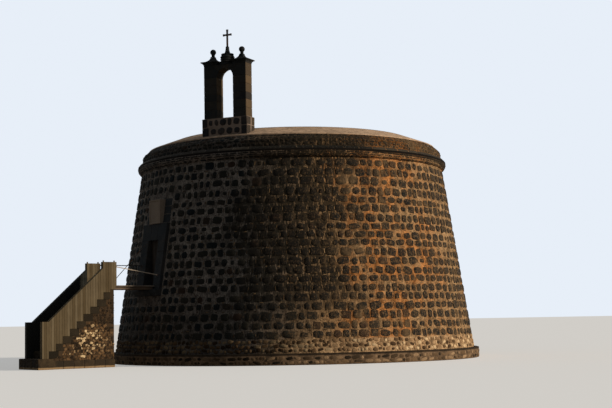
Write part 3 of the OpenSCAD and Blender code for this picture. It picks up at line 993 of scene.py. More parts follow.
@dataclass(frozen=True)
class RopeFinish:
    """Laid rope, pale on the bridge's right side and painted dark as shade on its left."""

    name: str = "laid_rope"
    pale: Colour = (0.74, 0.61, 0.47)
    painted_shade_rope: Colour = (0.040, 0.032, 0.028)

    def make(self) -> bpy.types.Material:
        """Makes the material.

        Returns:
            The material.
        """
        paint = Paint(self.name)
        x, _, _ = paint.parts
        fibre = paint.noise(160.0, 3.0, rough=0.7)
        # Painted shade: the left rope is dark, the right one pale.
        colour = paint.mix(paint.step(x, -0.1, 0.1), self.painted_shade_rope, self.pale)
        colour = paint.shade(colour, 0.65 + 0.6 * fibre)
        return paint.surface(colour, 0.92, fibre, 0.002)


# Stones


@dataclass
class Shape:
    """A modelled stone, of unit size about the origin: across, up and out of the wall."""

    points: np.ndarray
    faces: list[tuple[int, ...]]


def shape_of(thing: bpy.types.Object) -> Shape:
    """Keeps the points and faces of a modelled object, and clears the object away.

    Args:
        thing: The modelled object.

    Returns:
        Its shape.
    """
    points = np.array([vertex.co for vertex in thing.data.vertices])
    faces = [tuple(face.vertices) for face in thing.data.polygons]
    bpy.data.objects.remove(thing)
    return Shape(points, faces)


class Pile:
    """Many stones that become one mesh."""

    def __init__(self) -> None:
        """Starts with no stone."""
        self.points: list[np.ndarray] = []
        self.faces: list[tuple[int, ...]] = []
        self.tones: list[float] = []
        self.count = 0

    def add(self, shape: Shape, points: np.ndarray, tone: float) -> None:
        """Adds a stone.

        Args:
            shape: The modelled stone that is copied.
            points: Its points in place.
            tone: Its own shade.
        """
        self.faces += [tuple(i + self.count for i in face) for face in shape.faces]
        self.points.append(points)
        self.tones += [tone] * len(points)
        self.count += len(points)

    def build(self, name: str, material: bpy.types.Material) -> bpy.types.Object:
        """Makes the joined mesh.

        Args:
            name: The piece's name.
            material: Its material.

        Returns:
            The piece.
        """
        mesh = bpy.data.meshes.new(name)
        mesh.from_pydata(np.concatenate(self.points).tolist(), [], self.faces)
        mesh.attributes.new(TONE, "FLOAT", "POINT").data.foreach_set("value", self.tones)
        mesh.materials.append(material)
        piece = new_object(name, mesh)
        mark_lit_side(piece)
        smooth(piece, 42.0)
        return piece


class StoneCut(Enum):
    """How stones are cut: kinds, roundness, roughness and fineness of their shapes."""

    COBBLE = (12, (0.20, 0.65), 0.080, 2)
    BOULDER = (12, (0.50, 0.90), 0.110, 2)
    ASHLAR = (4, (0.0, 0.05), 0.020, 2)
    CHIP = (4, (0.30, 0.70), 0.120, 1)


@dataclass(frozen=True)
class Coursing:
    """How one kind of stone is laid."""

    pitch: float
    joint: float
    widths: tuple[float, float]
    depth: float
    proud: tuple[float, float]
    tilt: float = 5.0
    cut: StoneCut = StoneCut.COBBLE
    sway: float = 0.01

    def levels(self, rng: random.Random, low: float, high: float) -> list[tuple[float, float]]:
        """Divides a height into courses.

        Args:
            rng: The source of chance.
            low: The lowest level.
            high: The highest level.

        Returns:
            The middle and the height of each course, joint and all.
        """
        count = max(1, round((high - low) / self.pitch))
        weights = [rng.uniform(0.88, 1.12) for _ in range(count)]
        unit = (high - low) / sum(weights)
        found = []
        for weight in weights:
            found.append((low + weight * unit / 2, weight * unit))
            low += weight * unit
        return found

    def run(self, rng: random.Random, low: float, high: float) -> list[tuple[float, float]]:
        """Divides a length into stones.

        Args:
            rng: The source of chance.
            low: Where the course begins.
            high: Where it ends.

        Returns:
            The middle and the width of each stone.
        """
        widths = []
        while sum(widths) < high - low - 0.5 * self.widths[0]:
            share = rng.random() ** 1.4
            widths.append(self.widths[0] + (self.widths[1] - self.widths[0]) * share + self.joint)
        unit = (high - low) / sum(widths)
        found = []
        for width in widths:
            found.append((low + width * unit / 2, max(width * unit - self.joint, 0.04)))
            low += width * unit
        return found


class StoneShaper:
    """Models a few stones of each cut and cuts copies of them to size."""

    def __init__(self) -> None:
        """Models the stones."""
        rng = random.Random(4)
        self.shapes: dict[StoneCut, list[Shape]] = {}
        for cut in StoneCut:
            kinds, roundness, rough, fine = cut.value
            self.shapes[cut] = [
                self._model(seed, rng.uniform(*roundness), rough, fine) for seed in range(kinds)
            ]

    @staticmethod
    def _model(seed: int, roundness: float, rough: float, fine: int) -> Shape:
        """Models one stone from a cube.

        Args:
            seed: The source of its irregular shape.
            roundness: How far its corners are worn off.
            rough: How far its points wander.
            fine: The cuts across each side of the cube.

        Returns:
            The stone at unit size.
        """
        release()
        bpy.ops.mesh.primitive_cube_add(size=1.0)
        stone = bpy.context.active_object
        with editing(stone):
            bpy.ops.mesh.subdivide(number_cuts=fine)
            bpy.ops.transform.tosphere(value=roundness)
            bpy.ops.transform.vertex_random(offset=rough, seed=seed + 1)
        with editing(stone, lambda face: face.center.z < -0.3 and face.normal.z < -0.7):
            bpy.ops.mesh.dissolve_faces()
        with editing(stone):
            bpy.ops.mesh.normals_make_consistent(inside=False)
        shape = shape_of(stone)
        low, high = shape.points.min(0), shape.points.max(0)
        return Shape((shape.points - (low + high) / 2) / (high - low), shape.faces)

    def cut(
        self, rng: random.Random, coursing: Coursing, width: float, height: float
    ) -> tuple[Shape, np.ndarray]:
        """Cuts a stone to a size.

        Args:
            rng: The source of chance.
            coursing: How it is laid.
            width: Its width.
            height: Its height.

        Returns:
            The shape and its points, as across, up and out, with the wall face at 0.
        """
        shape = rng.choice(self.shapes[coursing.cut])
        points = shape.points * (width, height, coursing.depth)
        angle = math.radians(rng.uniform(-coursing.tilt, coursing.tilt))
        cos, sin = math.cos(angle), math.sin(angle)
        across, up, out = points.T
        out = out - coursing.depth / 2 + rng.uniform(*coursing.proud)
        return shape, np.column_stack((across * cos - up * sin, across * sin + up * cos, out))


@dataclass
class Yard:
    """What the sub-assemblies share: shaped stones and finishes."""

    shaper: StoneShaper
    mortar: bpy.types.Material
    cobble: bpy.types.Material
    dressed: bpy.types.Material
    gable_stone: bpy.types.Material
    joint_lime: bpy.types.Material
    iron: bpy.types.Material


def dress(nodes: Sequence[str], material: bpy.types.Material) -> None:
    """Gives nodes a better material.

    Args:
        nodes: The nodes, which stay as they are.
        material: Their finish.
    """
    for node in nodes:
        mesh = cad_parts[node].data
        mesh.materials.clear()
        mesh.materials.append(material)


def place_on(piece: bpy.types.Object, body: str) -> None:
    """Lets a piece ride on a body and logs how many triangles it has.

    Args:
        piece: The piece.
        body: The body that carries it.
    """
    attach(piece, body)
    triangles = sum(len(face.vertices) - 2 for face in piece.data.polygons)
    log.info("%s rides on %s: %d triangles", piece.name, body, triangles)


def block_work(
    name: str,
    nodes: Sequence[str],
    materials: tuple[bpy.types.Material, bpy.types.Material],
    *,
    seed: int,
    edge: float,
    cuts_of: Optional[Sequence[Sequence[Cut]]] = None,
    core_in: float = 0.0,
    tones: tuple[float, float] = (0.0, 1.0),
    body: str = TOWER,
) -> None:
    """Divides nodes into blocks or boards with open joints round a core, as one new piece.

    Args:
        name: The name of the new piece.
        nodes: The nodes whose form it takes, and for which it stands.
        materials: The finish of the blocks and that of the core.
        seed: The source of their shades.
        edge: The rounding of their edges.
        cuts_of: The cuts that bound each block, or None for one block a solid.
        core_in: How far the core lies behind their faces, or 0 for no core.
        tones: The range of their shades.
        body: The body that carries it.
    """
    rng = random.Random(seed)
    made = []
    for node in nodes:
        for whole in loose_parts(node_copy(node, name)):
            for cuts in cuts_of or [[]]:
                block = new_object(name, whole.data.copy())
                for cut in cuts:
                    cut.make(block)
                if not block.data.polygons:
                    bpy.data.objects.remove(block)
                    continue
                round_edges(block, edge)
                set_tone(block, rng.uniform(*tones))
                block.data.materials.append(materials[0])
                made.append(block)
            if core_in:
                with editing(whole):
                    bpy.ops.transform.shrink_fatten(value=-core_in, use_even_offset=True)
                set_tone(whole, 0.5)
                whole.data.materials.append(materials[1])
                made.append(whole)
            else:
                bpy.data.objects.remove(whole)
    piece = join(name, made)
    mark_lit_side(piece)
    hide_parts(*nodes)
    place_on(piece, body)


# Sub-assemblies


@dataclass
class TowerWall:
    """The battered round wall, its pale foot course and the plinth."""

    yard: Yard
    face: RoundFace = WALL_FACE
    plinth_r: float = 7.66
    plinth_h: float = 0.42
    plinth_in: float = 0.016
    plinth_rim: float = 0.12
    plinth_drop: float = 0.006
    plinth_levels: tuple[float, float] = (0.03, 0.33)
    ring_tall_range: tuple[float, float] = (0.8, 1.05)
    band_top: float = 0.92
    top: float = 7.70
    door_half: float = 0.86
    door_levels: tuple[float, float] = (2.61, 6.44)
    bay_half: float = 19.5
    side_names: tuple[str, ...] = (
        "front_right", "right", "rear_right", "rear_left", "left", "front_left",
    )
    cobbles: Coursing = Coursing(
        pitch=0.345, joint=0.056, widths=(0.22, 0.54), depth=0.080, proud=(0.016, 0.034), tilt=9.0
    )
    boulders: Coursing = Coursing(
        pitch=0.345, joint=0.056, widths=(0.22, 0.54), depth=0.090, proud=(0.024, 0.038),
        tilt=12.0, cut=StoneCut.BOULDER,
    )
    bed_joint: float = 0.030
    tall_range: tuple[float, float] = (0.84, 1.10)
    wave: float = 0.016
    wander: float = 0.020
    round_share: float = 0.50
    worn_share: float = 0.08
    worn_scale: float = 0.62
    upright_chips: float = 0.75
    flat_chips: float = 0.55
    chips: Coursing = Coursing(
        pitch=0.10, joint=0.0, widths=(0.03, 0.10), depth=0.05, proud=(0.006, 0.020),
        tilt=14.0, cut=StoneCut.CHIP,
    )
    band: Coursing = Coursing(
        pitch=0.165, joint=0.012, widths=(0.10, 0.28), depth=0.09, proud=(0.012, 0.040),
        tilt=25.0, cut=StoneCut.BOULDER, sway=0.03,
    )
    foot: Coursing = Coursing(
        pitch=0.16, joint=0.010, widths=(0.10, 0.42), depth=0.06, proud=(0.006, 0.015),
        tilt=14.0, cut=StoneCut.BOULDER, sway=0.012,
    )
    shaded_scale: float = 0.86
    sunny_scale: float = 0.99
    scale_turn: tuple[float, float] = (0.45, 0.95)

    def bay_of(self, turn: float) -> str:
        """Finds the wall bay at a turn.

        Args:
            turn: The turn from the door.

        Returns:
            The bay's name.
        """
        degrees = math.degrees(turn) % 360
        if degrees < self.bay_half or degrees > 360 - self.bay_half:
            return "door_bay"
        side = (360 - 2 * self.bay_half) / len(self.side_names)
        index = min(int((degrees - self.bay_half) / side), len(self.side_names) - 1)
        return self.side_names[index]

    def gap_half(self, low: float, high: float) -> float:
        """Half the width that the door surround and the plaque's frame take from a course."""
        beside = high > self.door_levels[0] and low < self.door_levels[1]
        return self.door_half if beside else 0.0

    def size_at(self, turn: float) -> float:
        """Says how large the cobbles are: smaller, in wider mortar, near the door.

        Args:
            turn: The turn from the door.

        Returns:
            Their size, as a share of the room that their course gives them.
        """
        low, high = self.scale_turn
        turn = turn % (2 * math.pi)
        away = min(max((turn - low) / (high - low), 0.0), 1.0)
        back = min(max((2 * math.pi - turn) / (high - low), 0.0), 1.0)
        return self.shaded_scale + (self.sunny_scale - self.shaded_scale) * min(away, back)

    def lay_cobbles(self) -> None:
        """Lays the courses, one piece a bay, with chips pressed into the mortar between."""
        rng = random.Random(11)
        piles = {name: Pile() for name in ("door_bay", *self.side_names)}
        chips = Pile()
        for level, height in self.cobbles.levels(rng, self.band_top, self.top):
            half_gap = self.gap_half(level - height / 2, level + height / 2)
            reach = self.face.radius_at(level)
            start = half_gap + 0.02 if half_gap else rng.uniform(0.0, 0.5)
            end = 2 * math.pi * reach - half_gap if half_gap else start + 2 * math.pi * reach
            for along, width in self.cobbles.run(rng, start, end):
                turn = along / reach
                size = self.size_at(turn)
                if rng.random() < self.worn_share:
                    size *= self.worn_scale
                tall = (height - self.bed_joint) * rng.uniform(*self.tall_range) * size
                kind = self.boulders if rng.random() < self.round_share else self.cobbles
                shape, points = self.yard.shaper.cut(rng, kind, width * size, tall)
                sway = self.wave * math.sin(3.1 * turn + level * 9)
                sway += rng.uniform(-self.wander, self.wander)
                placed = self.face.lay(points, turn, level + sway)
                piles[self.bay_of(turn)].add(shape, placed, rng.random())
                self.press_chips(rng, chips, along + width / 2, level, (width, height))
        for name, pile in piles.items():
            piece = pile.build(f"cobbles_{name}", self.yard.cobble)
            place_on(piece, TOWER)
        finish = RubbleFinish(
            "chip_stone", dark=(0.050, 0.034, 0.022), middle=(0.200, 0.120, 0.060),
            pale=(0.420, 0.270, 0.140), shade_share=0.45,
        )
        place_on(chips.build("mortar_chips", finish.make()), TOWER)

    def press_chips(
        self, rng: random.Random, pile: Pile, edge: float, level: float,
        cobble: tuple[float, float],
    ) -> None:
        """Presses an upright chip beside a cobble and a flat one over it, now and then.

        Args:
            rng: The source of chance.
            pile: Takes the chips.
            edge: Where the cobble ends along its course.
            level: The level of its middle.
            cobble: Its width, and the height of its course.
        """
        width, height = cobble
        reach = self.face.radius_at(level)
        beside, over = edge + self.cobbles.joint / 2, height / 2
        spots = (
            (self.upright_chips, beside, 0.0, 0.034, rng.uniform(0.08, 0.19)),
            (self.flat_chips, edge - rng.random() * width, over, rng.uniform(0.07, 0.16), 0.036),
        )
        for share, along, lift, across, tall in spots:
            if rng.random() < share:
                shape, points = self.yard.shaper.cut(rng, self.chips, across, tall)
                place = level + lift + rng.uniform(-self.wander, self.wander)
                pile.add(shape, self.face.lay(points, along / reach, place), rng.random())

    def lay_ring(
        self, name: str, face: RoundFace, coursing: Coursing, levels: tuple[float, float],
        material: bpy.types.Material, slot: str, seed: int,
    ) -> bpy.types.Object:
        """Lays whole rings of stones.

        Args:
            name: The piece's name.
            face: The face they stand on.
            coursing: How they are laid.
            levels: The lowest and highest level.
            material: Their finish.
            slot: Not used.
            seed: The source of chance.

        Returns:
            The piece.
        """
        rng = random.Random(seed)
        pile = Pile()
        for level, height in coursing.levels(rng, *levels):
            reach = face.radius_at(level)
            start = rng.uniform(0.0, 0.5)
            for along, width in coursing.run(rng, start, start + 2 * math.pi * reach):
                tall = height * face.slope - coursing.joint
                tall *= rng.uniform(*self.ring_tall_range)
                shape, points = self.yard.shaper.cut(rng, coursing, width, tall)
                sway = rng.uniform(-coursing.sway, coursing.sway)
                placed = face.lay(points, along / reach, level + sway)
                pile.add(shape, placed, rng.random())
        piece = pile.build(name, material)
        place_on(piece, TOWER)
        return piece

    def model_plinth(self, mortar: bpy.types.Material, stone: bpy.types.Material) -> None:
        """Models the plinth's mortar body and its stones, within the node's outline.

        Args:
            mortar: The finish of the body.
            stone: The finish of the stones.
        """
        release()
        radius = self.plinth_r - self.plinth_in
        bpy.ops.mesh.primitive_cylinder_add(
            vertices=180,
            radius=radius,
            depth=self.plinth_h,
            location=(0.0, 0.0, self.plinth_h / 2),
        )
        body = bpy.context.active_object
        body.name = "plinth_body"
        settle(body)
        with editing(body, lambda face: face.normal.z > 0.9):
            bpy.ops.mesh.inset(thickness=self.plinth_rim)
            bpy.ops.transform.translate(value=(0.0, 0.0, -self.plinth_drop))
        with editing(body, lambda face: face.normal.z < -0.9):
            bpy.ops.mesh.inset(thickness=self.plinth_rim)
        round_edges(body, 0.03, 2)
        set_tone(body, 0.5)
        body.data.materials.append(mortar)
        smooth(body)
        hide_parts("plinth")
        place_on(body, TOWER)
        self.lay_ring(
            "plinth_stones", RoundFace(radius, 0.0), self.foot, self.plinth_levels,
            stone, "plinth_rubble", 21,
        )

    def build(self) -> None:
        """Makes the whole wall."""
        walls = [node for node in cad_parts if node.startswith("wall_")]
        dress(walls, self.yard.mortar)
        self.lay_cobbles()
        pale = RubbleFinish(
            "foot_course_stone", dark=(0.075, 0.044, 0.024), middle=(0.410, 0.245, 0.124),
            pale=(0.780, 0.550, 0.310), shade_share=0.24, weather=Weather(sunny_turn=(0.85, 1.45)),
        ).make()
        self.lay_ring(
            "foot_course", self.face, self.band, (self.plinth_h + 0.03, self.band_top),
            pale, "plinth_rubble", 12,
        )
        rough = RubbleFinish(
            "plinth_stone", dark=(0.030, 0.023, 0.016), middle=(0.180, 0.110, 0.058),
            pale=(0.420, 0.270, 0.150), shade_share=0.4,
        ).make()
        dusty = LimeFinish(
            "plinth_lime", base=(0.260, 0.165, 0.095), stain=(0.055, 0.038, 0.025),
            rim=(0.016, 0.013, 0.010), lip_z=0.345, mottle=0.6,
        )
        self.model_plinth(dusty.make(), rough)


@dataclass
class StringCourse:
    """The round string course: curved dark stones over a bed joint painted black as their shadow,
    and small rubble.
    """

    yard: Yard
    wall: TowerWall
    radius: float = 6.241
    level: float = 7.955
    nose: float = 0.229
    bed: float = 8.058
    head: float = 8.170
    count: int = 66
    joint: float = 0.012
    edge: float = 0.012
    swell: tuple[float, float] = (1.0008, 1.0020)
    bed_r: float = 6.456
    bed_z: float = 8.018
    bed_thick: float = 0.022
    bed_tall: float = 2.1
    soffit: RoundFace = RoundFace(6.319, 7.740, -1.309)
    soffit_levels: tuple[float, float] = (7.742, 7.820)
    belly: RoundFace = RoundFace(6.4286, 7.8237, -0.315)
    belly_levels: tuple[float, float] = (7.830, 7.975)
    rubble: Coursing = Coursing(
        pitch=0.08, joint=0.025, widths=(0.16, 0.40), depth=0.06, proud=(0.012, 0.022), tilt=8.0
    )

    def model_stone(self) -> Shape:
        """Models one curved stone by spinning a cut disc round the tower's axis.

        Returns:
            The stone, in its place in front of the door.
        """
        release()
        bpy.ops.mesh.primitive_circle_add(
            vertices=28,
            radius=self.nose,
            fill_type="NGON",
            location=(0.0, -self.radius, self.level),
            rotation=(0.0, math.pi / 2, 0.0),
        )
        stone = bpy.context.active_object
        settle(stone)
        up = Vector((0.0, 0.0, 1.0))
        Cut(up * self.bed, -up).make(stone)
        Cut(up * self.head, up).make(stone)
        length = 2 * math.pi / self.count - self.joint / self.radius
        with editing(stone):
            bpy.ops.mesh.spin(steps=3, angle=length, center=(0, 0, 0), axis=(0, 0, 1))
        with editing(stone):
            bpy.ops.mesh.remove_doubles(threshold=WELD)
            bpy.ops.mesh.normals_make_consistent(inside=False)
        round_edges(stone, self.edge)
        return shape_of(stone)

    def lay_stones(self) -> None:
        """Lays the curved stones of the upper half."""
        finish = DressedFinish(
            "course_stone", dark=(0.026, 0.024, 0.021), light=(0.062, 0.052, 0.041),
            dust=(0.085, 0.064, 0.043), painted_sunlight=(0.090, 0.068, 0.043), painted_sunlight_share=0.7,
            patina=0.9,
        )
        rng = random.Random(31)
        stone = self.model_stone()
        pile = Pile()
        centre = np.array((0.0, 0.0, self.level))
        for index in range(self.count):
            turn = 2 * math.pi * index / self.count
            cos, sin = math.cos(turn), math.sin(turn)
            spin = np.array(((cos, sin, 0.0), (-sin, cos, 0.0), (0.0, 0.0, 1.0)))
            swell = rng.uniform(*self.swell)
            pile.add(stone, ((stone.points - centre) * swell) @ spin + centre, rng.random())
        place_on(pile.build("string_course_stones", finish.make()), TOWER)

    def draw_bed(self) -> None:
        """Models the bed joint under the curved stones as a flattened ring, painted near-black as
        their shadow.
        """
        release()
        bpy.ops.mesh.primitive_torus_add(
            major_radius=self.bed_r, minor_radius=self.bed_thick, major_segments=180,
            minor_segments=8, location=(0.0, 0.0, self.bed_z),
        )
        ring = bpy.context.active_object
        ring.name = "string_course_shadow_joint"
        settle(ring)
        with editing(ring):
            bpy.ops.transform.resize(
                value=(1.0, 1.0, self.bed_tall), center_override=(0, 0, self.bed_z)
            )
        set_tone(ring, 0.5)
        # Near-black: the joint painted as the shadow under the curved stones.
        dark = LimeFinish("bed_joint", (0.014, 0.011, 0.009), (0.007, 0.006, 0.005))
        ring.data.materials.append(dark.make())
        smooth(ring)
        place_on(ring, TOWER)

    def build(self) -> None:
        """Makes the course."""
        dress(["cordon"], self.yard.mortar)
        self.lay_stones()
        self.draw_bed()
        rows = (
            ("string_course_soffit", self.soffit, self.soffit_levels, 32),
            ("string_course_belly", self.belly, self.belly_levels, 33),
        )
        for name, face, levels, seed in rows:
            self.wall.lay_ring(
                name, face, self.rubble, levels, self.yard.cobble, "string_stone", seed
            )


@dataclass
class Parapet:
    """The low parapet: small rubble outside and plaster on its sloping top."""

    yard: Yard
    wall: TowerWall
    upright: RoundFace = RoundFace(6.265, 8.45)
    shoulder: RoundFace = RoundFace(6.265, 8.45, 245 / 210)
    foot: float = 8.185
    edge: float = 8.45
    head: float = 8.655
    rubble: Coursing = Coursing(
        pitch=0.132, joint=0.020, widths=(0.10, 0.30), depth=0.06, proud=(0.006, 0.024),
        tilt=20.0, cut=StoneCut.BOULDER, sway=0.03,
    )
    sloping: Coursing = Coursing(
        pitch=0.102, joint=0.020, widths=(0.10, 0.30), depth=0.06, proud=(0.006, 0.020),
        tilt=20.0, cut=StoneCut.BOULDER, sway=0.02,
    )

    def build(self) -> None:
        """Makes the parapet."""
        dress(["parapet"], self.yard.mortar)
        plaster = LimeFinish(
            "parapet_plaster", base=(0.72, 0.49, 0.32), stain=(0.36, 0.25, 0.17), rim_r=4.99,
            mottle=0.65,
        )
        dress(["parapet_plaster"], plaster.make())
        rows = (
            ("parapet_stones", self.upright, self.rubble, (self.foot, self.edge), 41),
            ("parapet_shoulder", self.shoulder, self.sloping, (self.edge, self.head), 42),
        )
        for name, face, coursing, levels, seed in rows:
            self.wall.lay_ring(
                name, face, coursing, levels, self.yard.cobble, "parapet_rubble", seed
            )


@dataclass
class Doorway:
    """The stone surround, the bare plaque and the boarded door."""

    yard: Yard
    jamb_joints: tuple[float, ...] = (3.44, 3.86, 4.36)
    sill_joints: tuple[float, ...] = (-0.36, 0.36)
    lintel_joints: tuple[float, ...] = (-0.25, 0.25)
    joint: float = 0.007
    edge: float = 0.012
    core_in: float = 0.012
    board: float = 0.14
    board_joint: float = 0.004
    ledge_levels: tuple[float, ...] = (3.17, 3.85, 4.76)
    ledge_size: tuple[float, float, float] = (0.74, 0.029, 0.13)
    ledge_in: float = 0.001
    ledge_bevel: tuple[float, float] = (0.012, 0.004)
    stud_levels: tuple[float, ...] = (3.34, 4.60)
    stud_r: float = 0.016
    stud_flat: float = 0.45
    studs_in_row: int = 6
    frame_levels: tuple[float, float] = (5.485, 6.435)
    frame_span: tuple[float, float] = (0.412, 0.850)
    frame_block: Coursing = Coursing(
        pitch=0.317, joint=0.010, widths=(0.43, 0.44), depth=0.07, proud=(0.006, 0.010),
        tilt=0.6, cut=StoneCut.ASHLAR,
    )

    def build_surround(self) -> None:
        """Makes the sill, jambs and lintel of dressed blocks."""
        finishes = (self.yard.dressed, self.yard.joint_lime)
        up, across = Vector((0, 0, 1)), Vector((1, 0, 0))
        rows = (
            ("jamb_blocks", ("door_jamb_left", "door_jamb_right"), up, self.jamb_joints),
            ("sill_blocks", ("door_sill",), across, self.sill_joints),
            ("lintel_blocks", ("door_lintel",), across, self.lintel_joints),
        )
        for index, (name, nodes, axis, levels) in enumerate(rows):
            block_work(
                name, nodes, finishes, seed=51 + index, edge=self.edge,
                cuts_of=slabs(axis, levels, self.joint), core_in=self.core_in, tones=(0.0, 0.6),
            )

    def build_plaque(self) -> None:
        """Makes the bare plaque with softened edges, between dark blocks laid in the wall."""
        stone = DressedFinish(
            "plaque_stone", dark=(0.23, 0.175, 0.130), light=(0.34, 0.260, 0.195),
            dust=(0.38, 0.29, 0.21), dusty=0.5, painted_sunlight_share=0.1,
        ).make()
        block_work(
            "plaque_tablet", ["plaque"], (stone, stone), seed=54, edge=0.008
        )
        rng = random.Random(56)
        pile = Pile()
        near, far = self.frame_span
        for level, height in self.frame_block.levels(rng, *self.frame_levels):
            for side in (-1.0, 1.0):
                shape, points = self.yard.shaper.cut(
                    rng, self.frame_block, far - near, height - self.frame_block.joint
                )
                turn = side * (near + far) / 2 / WALL_FACE.radius_at(level)
                pile.add(shape, WALL_FACE.lay(points, turn, level), rng.random() * 0.6)
        place_on(pile.build("plaque_frame", self.yard.dressed), TOWER)

    def build_leaf(self) -> None:
        """Makes the door leaf of upright boards, with ledges inside and studs outside."""
        low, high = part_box("door_leaf")
        wood = WoodFinish(
            "door_board", Grain.UP, base=(0.046, 0.036, 0.029), grey=(0.078, 0.062, 0.050),
            dark=(0.020, 0.016, 0.013),
        ).make()
        cuts = slabs(Vector((1, 0, 0)), even_levels(low.x, high.x, self.board), self.board_joint)
        block_work(
            "door_boards", ["door_leaf"], (wood, wood), seed=55, edge=0.004,
            cuts_of=cuts, core_in=0.008, body=DOOR,
        )
        cross_wood = WoodFinish(
            "door_ledge", Grain.ACROSS, base=(0.050, 0.039, 0.031), grey=(0.080, 0.064, 0.051),
            dark=(0.020, 0.016, 0.013),
        ).make()
        ledges = [self._ledge(level, high.y) for level in self.ledge_levels]
        ledge = join("door_ledges", ledges)
        ledge.data.materials.append(cross_wood)
        place_on(ledge, DOOR)
        studs = Pile()
        dome = self._stud()
        for level in self.stud_levels:
            for index in range(self.studs_in_row):
                middle = np.array((low.x + self.board * (index + 0.5), low.y, level))
                studs.add(dome, dome.points + middle, 0.5)
        stud = studs.build("door_studs", self.yard.iron)
        place_on(stud, DOOR)

    def _ledge(self, level: float, back: float) -> bpy.types.Object:
        """Models a ledge, a cross board with bevelled edges on the leaf's inner face.

        Args:
            level: The level of its middle.
            back: The y of the leaf's inner face.

        Returns:
            The ledge.
        """
        release()
        middle = back + self.ledge_size[1] / 2 - self.ledge_in
        inset, drop = self.ledge_bevel
        bpy.ops.mesh.primitive_cube_add(size=1.0, location=(0.0, middle, level))
        ledge = bpy.context.active_object
        ledge.scale = self.ledge_size
        settle(ledge)
        with editing(ledge, lambda face: face.normal.y > 0.9):
            bpy.ops.mesh.inset(thickness=inset)
            bpy.ops.transform.translate(value=(0.0, -drop, 0.0))
        round_edges(ledge, 0.003)
        set_tone(ledge, (level * 7.3) % 1.0)
        return ledge

    def _stud(self) -> Shape:
        """Models a stud's flattened head.

        Returns:
            The head, about its place on the leaf's outer face.
        """
        release()
        bpy.ops.mesh.primitive_uv_sphere_add(segments=12, ring_count=6, radius=self.stud_r)
        stud = bpy.context.active_object
        with editing(stud):
            bpy.ops.transform.resize(value=(1.0, self.stud_flat, 1.0))
        Cut(Vector((0.0, 0.002, 0.0)), Vector((0.0, 1.0, 0.0))).make(stud)
        return shape_of(stud)

    def build(self) -> None:
        """Makes the doorway."""
        self.build_surround()
        self.build_plaque()
        self.build_leaf()
        dress(["door_straps", "door_pintles"], self.yard.iron)


